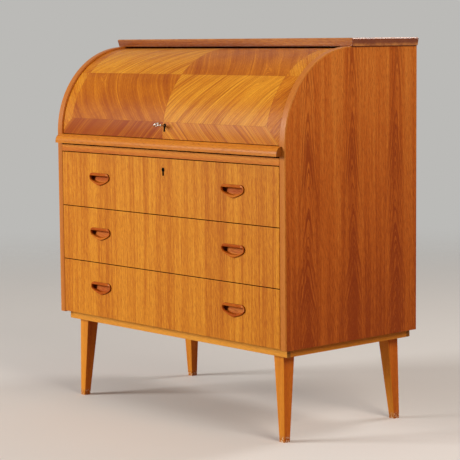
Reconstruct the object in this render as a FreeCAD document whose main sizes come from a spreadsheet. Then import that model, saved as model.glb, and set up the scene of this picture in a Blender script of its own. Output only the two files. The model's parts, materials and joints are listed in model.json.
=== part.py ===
import FreeCAD, Part
import math
import os
from types import SimpleNamespace

import Sketcher
from FreeCAD import Placement, Rotation, Vector

# Roll top secretary desk in teak: three full-width drawers on a splayed-leg stand, a pull-out writing
# leaf, a curved lid that rolls back on circular grooves, and a row of pigeonholes behind the lid.
# Millimetres, +Z up, front towards -Y, origin on the floor under the middle of the object's box.

# Driving dimensions
SIZES = {
    # carcass
    "width": 900,
    "depth": 460,
    "stand_back": 13,
    "panel_thick": 20,
    "band_thick": 3,
    "band_round": 2.2,
    "back_thick": 4,
    "back_rabbet": 8,
    "bottom_thick": 16,
    "bottom_set": 24,
    "rail_height": 19.6,
    "rail_thick": 20,
    "deck_thick": 14,
    # top board, wider at its upper face than at its underside
    "top_thick": 20,
    "top_over": 9,
    "top_undercut": 4,
    "top_nose": 10,
    "top_rear": 2,
    "top_arris": 1.2,
    # stand
    "base_height": 20,
    "base_side_inset": 17,
    "base_front_inset": 20,
    "base_rear_inset": 5,
    "base_rail": 12,
    "base_side_rail": 70,
    "leg_height": 214,
    "leg_top": 36,
    "leg_foot": 19,
    "leg_side_inset": 61,
    "leg_front_inset": 52,
    "leg_rear_inset": 40,
    "leg_splay_side": 11,
    "leg_splay_front": 10,
    "leg_splay_rear": 13,
    "leg_round": 2,
    # drawers
    "front_lift": 2.4,
    "front_height": 144.8,
    "front_gap": 2.2,
    "front_side_gap": 1,
    "front_thick": 20,
    "box_gap": 6,
    "side_thick": 12,
    "side_lift": 20,
    "side_height": 108,
    "box_rear_gap": 51,
    "tray_thick": 5,
    "tray_bite": 5,
    "tray_lift": 8,
    "box_back_thick": 12,
    "box_back_drop": 6,
    "slide_height": 12,
    "slide_rise": 62,
    "slide_bite": 4.5,
    "slide_clear": 0.5,
    "slide_start": 18,
    "slide_rear_gap": 43,
    # drawer pulls
    "pull_x": 265,
    "pull_rise": 82.6,
    "pull_half": 31,
    "pull_round": 11,
    "pull_tip": 22,
    "pull_rim": 4,
    "pull_proud": 3.5,
    "pull_depth": 16,
    "pull_hollow": 12.5,
    "bar_height": 7.5,
    "bar_thick": 5,
    # writing leaf
    "leaf_slot": 3,
    "lip_height": 23.5,
    "lip_depth": 16,
    "lip_lap": 8,
    "lip_nose": 6,
    "lip_back": 2,
    "lip_round": 20,
    "lip_clear": 0.5,
    "leaf_thick": 18,
    "leaf_rear_gap": 16.5,
    "leaf_clear": 0.8,
    "leaf_runner": 18,
    "leaf_runner_end": 20,
    "stop_size": 22,
    "leaf_travel": 230,
    "stop_drop": 13,
    "stop_x": 330,
    # roll top
    "axis_lift": 3.5,
    "lid_recess": 5,
    "lid_thick": 9,
    "lid_gap": 1.5,
    "lid_tuck": 12,
    "lid_open": 76,
    "groove_depth": 7,
    "groove_clear": 0.4,
    "groove_spare": 1.5,
    "batten_thick": 18,
    "batten_height": 42,
    "batten_gap": 3,
    # lid lock and key
    "key_angle": 8,
    "hole_head": 2.9,
    "hole_slot": 3.4,
    "hole_drop": 13.5,
    "hole_liner": 0.9,
    "case_width": 44,
    "case_height": 42,
    "case_thick": 12,
    "bolt_width": 16,
    "bolt_thick": 5,
    "bolt_below_key": 10.7,
    "bolt_throw": 8,
    "bolt_clear": 0.4,
    "stem_round": 2.2,
    "stem_inside": 6,
    "stem_outside": 17,
    "bow_round": 10,
    "bow_eye": 6,
    "bow_thick": 3,
    "bit_width": 2.4,
    "bit_drop": 7.6,
    "bit_length": 5,
    "bit_clear": 0.8,
    "strike_width": 40,
    "strike_depth": 14,
    "strike_thick": 1.5,
    # upper drawer lock
    "drawer_key_rise": 116,
    "drawer_case_width": 52,
    "drawer_case_height": 44,
    "drawer_case_thick": 11,
    # pigeonholes and small drawers
    "unit_clear": 1,
    "unit_board": 7,
    "unit_front": 60,
    "unit_rear": 140,
    "unit_height": 150,
    "unit_back": 4,
    "upright_thick": 7,
    "bay_x": 215,
    "slot_x": 72,
    "shelf_height": 58,
    "small_gap": 0.8,
    "small_front": 10,
    "small_wall": 6,
    "small_floor": 3,
    "small_rear_gap": 16,
    "small_drop": 8,
    "knob_round": 8,
    "knob_neck": 3.5,
    "knob_neck_length": 5,
    "knob_flare": 3,
    "knob_rim": 4,
}
DRAWERS = ("lower", "middle", "upper")
SIDES = {"left": -1, "right": 1}
SAME_PLACE = 0.001

doc = FreeCAD.newDocument("RollTopDesk")
sheet = doc.addObject("Spreadsheet::Sheet", "Sizes")
for row, (alias, number) in enumerate(SIZES.items(), start=1):
    sheet.set(f"A{row}", alias)
    sheet.set(f"B{row}", str(number))
    sheet.setAlias(f"B{row}", alias)
doc.recompute()


class Dim:
    """A length that carries its value and the sheet formula that it comes from."""

    def __init__(self, value, text):
        self.value = float(value)
        self.text = text

    def __add__(self, other):
        other = dim(other)
        return Dim(self.value + other.value, f"({self.text} + {other.text})")

    def __sub__(self, other):
        other = dim(other)
        return Dim(self.value - other.value, f"({self.text} - {other.text})")

    def __mul__(self, other):
        other = dim(other)
        return Dim(self.value * other.value, f"({self.text} * {other.text})")

    def __truediv__(self, other):
        other = dim(other)
        return Dim(self.value / other.value, f"({self.text} / {other.text})")

    def __neg__(self):
        return Dim(-self.value, f"(0 - {self.text})")

    __radd__ = __add__
    __rmul__ = __mul__


def dim(number):
    """Any number or length as a length with a formula."""
    return number if isinstance(number, Dim) else Dim(number, repr(float(number)))


def root(length):
    """Square root of a length."""
    return Dim(math.sqrt(length.value), f"sqrt({length.text})")


def sine(angle):
    """Sine of an angle in degrees."""
    return Dim(math.sin(math.radians(angle.value)), f"sin({angle.text})")


def cosine(angle):
    """Cosine of an angle in degrees."""
    return Dim(math.cos(math.radians(angle.value)), f"cos({angle.text})")


size = SimpleNamespace(**{name: Dim(sheet.get(name), f"Sizes.{name}") for name in SIZES})

# Levels and planes that several pieces share
ZERO = dim(0)
QUARTER_TURN = dim(90)
arc = size.depth / 2
inner = size.width / 2 - size.panel_thick
clear_width = inner * 2
axis_y = size.stand_back
front_y = axis_y - arc
rear_y = axis_y + arc
back_y = rear_y - size.back_thick
body_z = size.leg_height + size.base_height
front_pitch = size.front_height + size.front_gap
rail_z = body_z + size.front_lift + front_pitch * len(DRAWERS)
lip_z = rail_z + size.rail_height + size.leaf_slot
leaf_z = lip_z + size.lip_height
axis_z = leaf_z + size.axis_lift
drop = axis_z - body_z
lid_out = arc - size.lid_recess
lid_in = lid_out - size.lid_thick
lid_foot = size.lid_gap - size.axis_lift
box_half = inner - size.box_gap
box_y = front_y + size.front_thick
box_length = back_y - size.box_rear_gap - box_y
key_sine = sine(size.key_angle)
key_cosine = cosine(size.key_angle)
case_front = lid_in - size.batten_thick
case_rear = case_front - size.case_thick
bolt_line = (case_front + case_rear) / 2


def bind(thing, **formulas):
    """Tie properties of an object to sheet formulas; two underscores stand for a dot."""
    for name, length in formulas.items():
        thing.setExpression(name.replace("__", "."), dim(length).text)


def place(thing, x=ZERO, y=ZERO, z=ZERO, tilt=None):
    """Put an object at a point, tilted about the X axis."""
    at = [dim(value) for value in (x, y, z)]
    turn = Rotation(Vector(1, 0, 0), tilt.value if tilt else 0)
    thing.Placement = Placement(Vector(*[value.value for value in at]), turn)
    bind(thing, Placement__Base__x=at[0], Placement__Base__y=at[1], Placement__Base__z=at[2])
    if tilt:
        bind(thing, Placement__Rotation__Angle=tilt)
    return thing


def board(label, x, y, z, length, width, height):
    """A squared board from its lowest corner and its sizes along X, Y and Z."""
    box = doc.addObject("Part::Box", label)
    box.Label = label
    bind(box, Length=length, Width=width, Height=height)
    return place(box, x, y, z)


def rod(label, radius, height, x=ZERO, y=ZERO, z=ZERO, tilt=None):
    """A round bar that starts at a point and runs along its own Z axis."""
    bar = doc.addObject("Part::Cylinder", label)
    bar.Label = label
    bind(bar, Radius=radius, Height=height)
    return place(bar, x, y, z, tilt)


def cut(label, base, *tools):
    """One piece with each tool taken out of it in turn."""
    for number, tool in enumerate(tools):
        last = number == len(tools) - 1
        piece = doc.addObject("Part::Cut", label if last else f"{label}_cut{number}")
        piece.Base = base
        piece.Tool = tool
        base = piece
    base.Label = label
    return base


def fuse(label, *pieces):
    """Pieces made as one solid."""
    whole = doc.addObject("Part::MultiFuse", label)
    whole.Shapes = list(pieces)
    whole.Label = label
    return whole


def group(label, *pieces):
    """Separate alike solids that share one node."""
    whole = doc.addObject("Part::Compound", label)
    whole.Links = list(pieces)
    whole.Label = label
    return whole


def mirrored(label, piece):
    """The same piece on the other side of the middle plane."""
    other = doc.addObject("Part::Mirroring", label)
    other.Source = piece
    other.Base = Vector(0, 0, 0)
    other.Normal = Vector(1, 0, 0)
    other.Label = label
    return other


def eased(label, piece, kind, reach, chosen):
    """A piece with a round or a chamfer on each edge that the test chooses."""
    doc.recompute()
    edges = piece.Shape.Edges
    picked = [(n, reach.value, reach.value) for n, edge in enumerate(edges, start=1) if chosen(edge)]
    smooth = doc.addObject(f"Part::{kind}", label)
    smooth.Base = piece
    smooth.Edges = picked
    smooth.Label = label
    return smooth


def new_body(label):
    """An empty body for sketched features."""
    body = doc.addObject("PartDesign::Body", label)
    body.Label = label
    return body


def sketch(body, name, role, shift=None):
    """A sketch on one of its body's origin planes, moved along the plane's normal."""
    planes = [plane for plane in body.Origin.OriginFeatures if plane.Role == role]
    drawing = body.newObject("Sketcher::SketchObject", f"{body.Label}_{name}")
    drawing.AttachmentSupport = (planes[0], [""])
    drawing.MapMode = "FlatFace"
    if shift is not None:
        drawing.AttachmentOffset = Placement(Vector(0, 0, shift.value), Rotation())
        bind(drawing, AttachmentOffset__Base__z=shift)
    return drawing


def arc_edge(start, end, radius, turn):
    """The shorter arc between two points, anticlockwise where turn is 1, with its point numbers."""
    chord = end - start
    half = chord.Length / 2
    side = Vector(-chord.y, chord.x, 0).normalize() * turn
    centre = (start + end) / 2 + side * math.sqrt(radius * radius - half * half)
    first, second = (start, end) if turn > 0 else (end, start)
    angles = [math.atan2(point.y - centre.y, point.x - centre.x) for point in (first, second)]
    edge = Part.ArcOfCircle(Part.Circle(centre, Vector(0, 0, 1), radius), *angles)
    return edge, (1, 2) if turn > 0 else (2, 1)


def outline(drawing, corners):
    """A closed outline. Each corner is (x, y), or (x, y, turn, radius) where an arc leaves it."""
    points = [Vector(dim(corner[0]).value, dim(corner[1]).value, 0) for corner in corners]
    ends = []
    for number, corner in enumerate(corners):
        start, end = points[number], points[(number + 1) % len(points)]
        if len(corner) == 4:
            edge, order = arc_edge(start, end, corner[3].value, corner[2])
        else:
            edge, order = Part.LineSegment(start, end), (1, 2)
        index = drawing.addGeometry(edge)
        ends.append((index, *order))
        if len(corner) == 4:
            rule = drawing.addConstraint(Sketcher.Constraint("Radius", index, corner[3].value))
            drawing.setExpression(f"Constraints[{rule}]", corner[3].text)
    for number, (index, first, last) in enumerate(ends):
        after, after_first, _ = ends[(number + 1) % len(ends)]
        drawing.addConstraint(Sketcher.Constraint("Coincident", index, last, after, after_first))
        for kind, value in zip(("DistanceX", "DistanceY"), corners[number][:2]):
            value = dim(value)
            rule = drawing.addConstraint(Sketcher.Constraint(kind, index, first, value.value))
            drawing.setExpression(f"Constraints[{rule}]", value.text)


def rectangle(drawing, low_x, low_y, high_x, high_y):
    """A rectangle between two corners."""
    outline(drawing, [(low_x, low_y), (high_x, low_y), (high_x, high_y), (low_x, high_y)])


def ring(drawing, radius):
    """A circle about the sketch's origin."""
    index = drawing.addGeometry(Part.Circle(Vector(0, 0, 0), Vector(0, 0, 1), radius.value))
    drawing.addConstraint(Sketcher.Constraint("Coincident", index, 3, -1, 1))
    rule = drawing.addConstraint(Sketcher.Constraint("Radius", index, radius.value))
    drawing.setExpression(f"Constraints[{rule}]", radius.text)


def pad(body, name, drawing, length, middle=False, back=False):
    """A sketch pulled out into a solid."""
    feature = body.newObject("PartDesign::Pad", f"{body.Label}_{name}")
    feature.Profile = drawing
    if middle:
        feature.SideType = "Symmetric"
    feature.Reversed = back
    bind(feature, Length=length)
    doc.recompute()
    return feature


def pocket(body, name, drawing, length, back=False):
    """A sketch cut into its body; the body has to lose volume."""
    before = body.Shape.Volume
    feature = body.newObject("PartDesign::Pocket", f"{body.Label}_{name}")
    feature.Profile = drawing
    feature.Reversed = back
    bind(feature, Length=length)
    doc.recompute()
    if body.Shape.Volume > before - SAME_PLACE:
        raise ValueError(f"{body.Label}: {name} cuts nothing")
    return feature


nodes = []


def keep(*pieces):
    """Note finished sub-parts, which are written out under their labels."""
    nodes.extend(pieces)


# Curved side panels with their edge bands
def lid_track(drawing):
    """The groove of the roll top: the lid's section with a running clearance, as far as it rolls."""
    outer = lid_out + size.groove_clear
    within = lid_in - size.groove_clear
    foot = lid_foot - size.groove_clear
    tuck = size.lid_tuck / lid_out * math.degrees(1)
    end = QUARTER_TURN - tuck - size.lid_open - size.groove_spare
    outline(drawing, [
        (-root(outer * outer - foot * foot), foot, -1, outer),
        (outer * cosine(end), outer * sine(end)),
        (within * cosine(end), within * sine(end), 1, within),
        (-root(within * within - foot * foot), foot),
    ])


def side_panel(side):
    """Veneered panel: straight below the axis, a quarter circle above it, with groove and rabbet."""
    core = arc - size.band_thick
    left = side == "left"
    body = new_body(f"{side}_side_panel")
    place(body, -size.width / 2 if left else inner, axis_y, axis_z)
    shape = sketch(body, "outline", "YZ_Plane")
    outline(shape, [
        (arc, -drop), (arc, arc), (ZERO, arc), (ZERO, core, 1, core), (-core, ZERO), (-core, -drop),
    ])
    pad(body, "panel", shape, size.panel_thick)
    for name, depth, draw in (("track", size.groove_depth, lid_track), ("rabbet", size.back_rabbet, rabbet)):
        level = size.panel_thick - depth if left else depth
        drawing = sketch(body, f"{name}_outline", "YZ_Plane", level)
        draw(drawing)
        pocket(body, name, drawing, depth, back=left)
    keep(body)


def rabbet(drawing):
    """The rebate at the rear edge that takes the back panel."""
    rectangle(drawing, arc - size.back_thick, -drop, arc, arc)


def edge_band(side):
    """Solid strip round the front edge, from the bottom up and over the quarter circle."""
    core = arc - size.band_thick
    body = new_body(f"{side}_edge_band_blank")
    place(body, -size.width / 2 if side == "left" else inner, axis_y, axis_z)
    shape = sketch(body, "outline", "YZ_Plane")
    outline(shape, [
        (ZERO, core), (ZERO, arc, 1, arc), (-arc, ZERO), (-arc, -drop), (-core, -drop),
        (-core, ZERO, -1, core),
    ])
    pad(body, "strip", shape, size.panel_thick)

    def outer_long_edge(edge):
        spot = edge.valueAt((edge.FirstParameter + edge.LastParameter) / 2)
        flat = abs(spot.y - front_y.value) < SAME_PLACE
        round_part = abs(math.hypot(spot.y - axis_y.value, spot.z - axis_z.value) - arc.value) < SAME_PLACE
        on_face = flat and spot.z < axis_z.value or round_part
        return on_face and edge.BoundBox.XLength < SAME_PLACE and edge.Length > size.panel_thick.value

    keep(eased(f"{side}_edge_band", body, "Fillet", size.band_round, outer_long_edge))


# Flat boards of the carcass
def top_panel():
    """Top board with undercut edges and a softened upper rim."""
    low_x = size.width / 2 + size.top_over - size.top_undercut
    rear = arc - size.top_rear
    blank = doc.addObject("Part::Wedge", "top_panel_blank")
    bind(
        blank,
        Xmin=-low_x, Xmax=low_x, X2min=-low_x - size.top_undercut, X2max=low_x + size.top_undercut,
        Ymin=ZERO, Ymax=size.top_thick,
        Zmin=-rear, Z2min=-rear, Zmax=size.top_nose - size.top_undercut, Z2max=size.top_nose,
    )
    place(blank, ZERO, axis_y, axis_z + arc, QUARTER_TURN)
    top_z = (axis_z + arc + size.top_thick).value

    def upper_edge(edge):
        return edge.BoundBox.ZMin > top_z - SAME_PLACE

    keep(eased("top_panel", blank, "Chamfer", size.top_arris, upper_edge))


def carcass_boards():
    """Back, bottom, front rail, deck and the runners that carry the leaf."""
    back_half = inner + size.back_rabbet
    keep(board("back_panel", -back_half, back_y, body_z, back_half * 2, size.back_thick, drop + arc))
    floor_y = front_y + size.bottom_set
    keep(board("bottom_panel", -inner, floor_y, body_z, clear_width, back_y - floor_y, size.bottom_thick))
    keep(board("front_rail", -inner, front_y, rail_z, clear_width, size.rail_thick, size.rail_height))
    deck_y = front_y + size.rail_thick
    keep(board("desk_deck", -inner, deck_y, rail_z, clear_width, back_y - deck_y, size.deck_thick))
    runner_z = rail_z + size.deck_thick
    runner_length = back_y - deck_y - size.leaf_runner_end
    runner_height = leaf_z - size.leaf_thick - runner_z
    runner = board(
        "leaf_runner_right", inner - size.leaf_runner, deck_y, runner_z,
        size.leaf_runner, runner_length, runner_height,
    )
    keep(group("leaf_runners", runner, mirrored("leaf_runner_left", runner)))


def front_z(index):
    """Lower edge of a drawer front, counted from the bottom."""
    return body_z + size.front_lift + front_pitch * index


def drawer_slides():
    """Hardwood strips on the side panels, on which the drawers hang by grooves in their sides."""
    strips = []
    reach = size.box_gap + size.slide_bite
    start = box_y + size.slide_start
    length = back_y - size.slide_rear_gap - start
    for index, name in enumerate(DRAWERS):
        z = front_z(index) + size.slide_rise
        strip = board(f"slide_right_{name}", inner - reach, start, z, reach, length, size.slide_height)
        strips += [strip, mirrored(f"slide_left_{name}", strip)]
    keep(group("drawer_slides", *strips))


# Stand: a low frame with four splayed, tapered legs
def stand():
    """Frame rails under the carcass and the legs under the side rails."""
    half = size.width / 2 - size.base_side_inset
    low_y = front_y + size.base_front_inset
    high_y = rear_y - size.base_rear_inset
    z = size.leg_height
    for name, y in (("front", low_y), ("rear", high_y - size.base_rail)):
        keep(board(f"base_{name}_rail", -half, y, z, half * 2, size.base_rail, size.base_height))
    side_y = low_y + size.base_rail
    side_length = high_y - size.base_rail - side_y
    for side, sign in SIDES.items():
        x = -half if sign < 0 else half - size.base_side_rail
        keep(board(f"base_{side}_rail", x, side_y, z, size.base_side_rail, side_length, size.base_height))
    for side, sign in SIDES.items():
        leg(f"leg_front_{side}", sign, front_y + size.leg_front_inset, -size.leg_splay_front)
        leg(f"leg_rear_{side}", sign, rear_y - size.leg_rear_inset, size.leg_splay_rear)


def leg(label, sign, top_y, splay):
    """Square leg that tapers to its foot and leans outwards both ways."""
    top_x = (size.width / 2 - size.leg_side_inset) * sign
    foot_x = top_x + size.leg_splay_side * sign
    foot_y = top_y + splay
    foot = size.leg_foot / 2
    head = size.leg_top / 2
    blank = doc.addObject("Part::Wedge", f"{label}_blank")
    bind(
        blank,
        Xmin=foot_x - foot, Xmax=foot_x + foot, X2min=top_x - head, X2max=top_x + head,
        Ymin=ZERO, Ymax=size.leg_height,
        Zmin=-foot_y - foot, Zmax=-foot_y + foot, Z2min=-top_y - head, Z2max=-top_y + head,
    )
    place(blank, tilt=QUARTER_TURN)

    def arris(edge):
        return edge.BoundBox.ZLength > size.leg_height.value / 2

    keep(eased(label, blank, "Fillet", size.leg_round, arris))


# Keyholes
def keyhole(label, length, grow, x=ZERO, y=ZERO, z=ZERO, tilt=None):
    """A keyhole-shaped bar along its own Z axis: a round head with a slot below it."""
    head = size.hole_head + grow
    slot = size.hole_slot / 2 + grow
    body = new_body(label)
    place(body, x, y, z, tilt)
    shape = sketch(body, "outline", "XY_Plane")
    neck = -root(head * head - slot * slot)
    low = -size.hole_drop - grow
    outline(shape, [
        (-slot, low), (slot, low), (slot, neck, 1, head), (ZERO, head, 1, head), (-slot, neck),
    ])
    pad(body, "bar", shape, length)
    return body


# Roll top: curved lid with a stiffening batten, a lock and its key
def radial(distance):
    """A point of the key's line at a distance from the roll top's axis, as y and z."""
    return axis_y - distance * key_cosine, axis_z + distance * key_sine


def lid_keyhole(label, start, end, grow):
    """A keyhole bar along the key's line between two distances from the axis."""
    y, z = radial(start)
    return keyhole(label, end - start, grow, ZERO, y, z, QUARTER_TURN - size.key_angle)


def lid():
    """Shell, batten, lock case, keyhole liner, bolt and key."""
    through = lid_out + size.lid_thick
    shell = new_body("lid_shell_blank")
    place(shell, ZERO, axis_y, axis_z)
    shape = sketch(shell, "outline", "YZ_Plane")
    tuck = size.lid_tuck
    outline(shape, [
        (-root(lid_out * lid_out - lid_foot * lid_foot), lid_foot, -1, lid_out),
        (tuck, root(lid_out * lid_out - tuck * tuck)),
        (tuck, root(lid_in * lid_in - tuck * tuck), 1, lid_in),
        (-root(lid_in * lid_in - lid_foot * lid_foot), lid_foot),
    ])
    tongue = size.groove_depth - size.groove_clear
    pad(shell, "shell", shape, clear_width + tongue * 2, middle=True)
    keep(cut("lid_shell", shell, lid_keyhole("lid_shell_hole", case_front, through, size.hole_liner)))

    batten = new_body("lid_batten_blank")
    place(batten, ZERO, axis_y, axis_z)
    section = sketch(batten, "outline", "YZ_Plane")
    high = lid_foot + size.batten_height
    outline(section, [
        (-root(lid_in * lid_in - lid_foot * lid_foot), lid_foot, -1, lid_in),
        (-root(lid_in * lid_in - high * high), high), (-case_front, high), (-case_front, lid_foot),
    ])
    pad(batten, "strip", section, clear_width - size.batten_gap * 2, middle=True)
    keep(cut("lid_batten", batten, lid_keyhole("lid_batten_hole", case_rear, through, size.hole_liner)))

    liner_start = lid_in + size.hole_liner
    liner = lid_keyhole("lid_liner_blank", liner_start, lid_out, size.hole_liner)
    keep(cut("lid_keyhole_liner", liner, lid_keyhole("lid_liner_hole", case_rear, through, ZERO)))
    lid_lock()
    lid_key()


def lid_lock():
    """Steel case behind the batten, with the bolt that drops into the leaf."""
    foot_z = axis_z + lid_foot
    bolt_height = bolt_line * key_sine - lid_foot - size.bolt_below_key
    case = board(
        "lid_lock_blank", -size.case_width / 2, axis_y - case_front, foot_z,
        size.case_width, size.case_thick, size.case_height,
    )
    bolt_y = axis_y - bolt_line - size.bolt_thick / 2
    wide = size.bolt_width + size.bolt_clear * 2
    deep = size.bolt_thick + size.bolt_clear * 2
    way = board(
        "lid_bolt_way", -wide / 2, bolt_y - size.bolt_clear, foot_z,
        wide, deep, bolt_height + size.bolt_clear,
    )
    inside = case_front - size.stem_inside - size.bolt_clear
    hole = lid_keyhole("lid_lock_hole", inside, lid_out, ZERO)
    chamber_y, chamber_z = radial(inside)
    chamber = rod(
        "lid_bit_chamber", size.bit_drop + size.bit_clear, size.bit_length + size.bit_clear * 2,
        ZERO, chamber_y, chamber_z, QUARTER_TURN - size.key_angle,
    )
    keep(cut("lid_lock_case", case, way, hole, chamber))
    bolt_x = -size.bolt_width / 2
    keep(board("lid_bolt", bolt_x, bolt_y, foot_z, size.bolt_width, size.bolt_thick, bolt_height))


def lid_key():
    """Key with a round bow, standing out of the lid with its bow level."""
    start = case_front - size.stem_inside
    neck = lid_out + size.stem_outside
    y, z = radial(start)
    lean = QUARTER_TURN - size.key_angle
    stem = rod("key_stem", size.stem_round, neck - start + size.bow_thick / 2, ZERO, y, z, lean)
    bow = new_body("key_bow")
    bow_y, bow_z = radial(neck + size.bow_round)
    place(bow, ZERO, bow_y, bow_z, -size.key_angle)
    shape = sketch(bow, "outline", "XY_Plane")
    ring(shape, size.bow_round)
    ring(shape, size.bow_eye)
    pad(bow, "ring", shape, size.bow_thick, middle=True)
    bit_y, bit_z = radial(start + size.bit_clear)
    bit = new_body("key_bit")
    place(bit, ZERO, bit_y, bit_z, lean)
    side = sketch(bit, "outline", "XY_Plane")
    rectangle(side, -size.bit_drop, -size.bit_width / 2, ZERO, size.bit_width / 2)
    pad(bit, "plate", side, size.bit_length)
    keep(fuse("lid_key", stem, bow, bit))


# Pull-out writing leaf
def leaf():
    """Board on its runners, rounded front lip, lock strike and the stops under its rear."""
    half = inner - size.leaf_clear
    leaf_front = front_y - size.lip_clear
    leaf_depth = back_y - size.leaf_rear_gap - leaf_front
    low = leaf_z - size.leaf_thick
    blank = board("leaf_blank", -half, leaf_front, low, half * 2, leaf_depth, size.leaf_thick)
    bolt_y = axis_y - bolt_line
    strike_x = size.strike_width / 2
    strike_y = bolt_y - size.strike_depth / 2
    strike_z = leaf_z - size.strike_thick
    strike_sizes = (size.strike_width, size.strike_depth, size.strike_thick)
    seat = board("leaf_strike_seat", -strike_x, strike_y, strike_z, *strike_sizes)
    room = size.bolt_clear * 2
    wide = size.bolt_width + room * 2
    deep = size.bolt_thick + room * 2
    sunk = size.bolt_throw + room
    mortise = board("leaf_mortise", -wide / 2, bolt_y - deep / 2, leaf_z - sunk, wide, deep, sunk)
    keep(cut("leaf_board", blank, seat, mortise))
    plate = board("strike_blank", -strike_x, strike_y, strike_z, *strike_sizes)
    keep(cut("leaf_strike", plate, mortise))
    leaf_lip(leaf_front)
    stop_y = front_y + size.rail_thick + size.leaf_travel + size.leaf_clear
    stop = board(
        "leaf_stop_right", size.stop_x, stop_y, low - size.stop_drop,
        size.stop_size, size.stop_size, size.stop_drop,
    )
    keep(group("leaf_stops", stop, mirrored("leaf_stop_left", stop)))


def leaf_lip(back):
    """Moulding along the leaf's front edge, rounded from its top to its nose; it laps the panels."""
    body = new_body("leaf_lip")
    place(body, ZERO, back, lip_z)
    shape = sketch(body, "outline", "YZ_Plane")
    outline(shape, [
        (ZERO, ZERO), (ZERO, size.lip_height), (-size.lip_back, size.lip_height, 1, size.lip_round),
        (-size.lip_depth, size.lip_nose), (-size.lip_depth, ZERO),
    ])
    pad(body, "moulding", shape, clear_width + size.lip_lap * 2, middle=True)
    keep(body)


# Drawer pulls
def pull_outline(drawing, x, z, inset):
    """Shield outline: straight top, round ends and a shallow point below, drawn inwards by an inset."""
    half, tip, ends = size.pull_half, size.pull_tip, size.pull_round
    span = half * half + tip * tip
    tangent = root(span - ends * ends)
    slope_x = (half * tangent + tip * ends) / span
    slope_z = (tip * tangent - half * ends) / span
    low = tip - inset / slope_x
    small = ends - inset
    run = root(half * half + low * low - small * small)
    side_x = run * slope_x
    side_z = run * slope_z - low
    outline(drawing, [
        (x - half, z + small), (x + half, z + small, -1, small), (x + side_x, z + side_z), (x, z - low),
        (x - side_x, z + side_z, -1, small),
    ])


def pull(label, index):
    """A drawer's two pulls: a proud shield with a scooped hollow under an overhanging finger bar."""
    inset = size.pull_depth - size.pull_proud
    body = new_body(f"{label}_right")
    place(body, size.pull_x, front_y + inset, front_z(index) + size.pull_rise)
    shape = sketch(body, "outline", "XZ_Plane")
    pull_outline(shape, ZERO, ZERO, ZERO)
    pad(body, "shield", shape, size.pull_depth)
    mouth = sketch(body, "mouth", "XZ_Plane", size.pull_depth)
    pull_outline(mouth, ZERO, ZERO, size.pull_rim)
    pocket(body, "hollow", mouth, size.pull_hollow)
    bar = sketch(body, "bar", "XZ_Plane", size.pull_depth)
    reach = size.pull_half + size.pull_round - size.pull_rim
    top = size.pull_round - size.pull_rim
    rectangle(bar, -reach, size.pull_round - size.bar_height, reach, top)
    pad(body, "finger_bar", bar, size.bar_thick, back=True)
    keep(group(label, body, mirrored(f"{label}_left", body)))


# Drawers
def drawer_front(label, index):
    """Front board with the two seats that the pulls are let into."""
    body = new_body(label)
    half = inner - size.front_side_gap
    place(body, ZERO, box_y, front_z(index))
    shape = sketch(body, "outline", "XZ_Plane")
    rectangle(shape, -half, ZERO, half, size.front_height)
    pad(body, "board", shape, size.front_thick)
    seats = sketch(body, "seats_outline", "XZ_Plane", size.front_thick)
    for sign in SIDES.values():
        pull_outline(seats, size.pull_x * sign, size.pull_rise, ZERO)
    pocket(body, "seats", seats, size.pull_depth - size.pull_proud)
    return body


def drawer_box(name, index):
    """Sides with runner and tray grooves, a back and a thin tray."""
    z = front_z(index) + size.side_lift
    slide_z = front_z(index) + size.slide_rise
    groove_depth = size.slide_bite + size.slide_clear
    tray_z = z + size.tray_lift
    within = box_half - size.side_thick
    for side, sign in SIDES.items():
        label = f"drawer_{name}_{side}_side"
        x = -box_half if sign < 0 else within
        blank = board(f"{label}_blank", x, box_y, z, size.side_thick, box_length, size.side_height)
        way_x = -box_half if sign < 0 else box_half - groove_depth
        way_y = box_y + size.slide_start - size.slide_clear
        way = board(
            f"{label}_way", way_x, way_y, slide_z - size.slide_clear,
            groove_depth, box_length, size.slide_height + size.slide_clear,
        )
        tray_x = -within - size.tray_bite if sign < 0 else within
        slit = board(f"{label}_slit", tray_x, box_y, tray_z, size.tray_bite, box_length, size.tray_thick)
        keep(cut(label, blank, way, slit))
    tray_half = within + size.tray_bite
    tray_sizes = (tray_half * 2, box_length, size.tray_thick)
    keep(board(f"drawer_{name}_tray", -tray_half, box_y, tray_z, *tray_sizes))
    back_low = tray_z + size.tray_thick
    back_height = z + size.side_height - size.box_back_drop - back_low
    keep(board(
        f"drawer_{name}_back", -within, box_y + box_length - size.box_back_thick, back_low,
        within * 2, size.box_back_thick, back_height,
    ))


def drawers():
    """Three alike drawers; the upper one has a lock."""
    for index, name in enumerate(DRAWERS):
        locked = name == "upper"
        label = f"drawer_{name}_front"
        front = drawer_front(f"{label}_blank" if locked else label, index)
        if locked:
            drawer_lock(front, label, index)
        else:
            keep(front)
        drawer_box(name, index)
        pull(f"drawer_{name}_pulls", index)


def drawer_lock(front, label, index):
    """Keyhole with its liner in the front, and the lock case behind it."""
    z = front_z(index) + size.drawer_key_rise
    hole_length = size.front_thick + size.drawer_case_thick
    hole = keyhole(f"{label}_hole", hole_length, size.hole_liner, ZERO, box_y, z, QUARTER_TURN)
    keep(cut(label, front, hole))
    liner = keyhole("drawer_liner_blank", size.front_thick, size.hole_liner, ZERO, box_y, z, QUARTER_TURN)
    bore = keyhole("drawer_liner_hole", hole_length, ZERO, ZERO, box_y, z, QUARTER_TURN)
    keep(cut("drawer_upper_keyhole_liner", liner, bore))
    top = front_z(index) + size.front_height
    low = top - size.drawer_case_height
    half = size.drawer_case_width / 2
    keep(board(
        "drawer_upper_lock", -half, box_y, low,
        size.drawer_case_width, size.drawer_case_thick, size.drawer_case_height,
    ))


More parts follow.
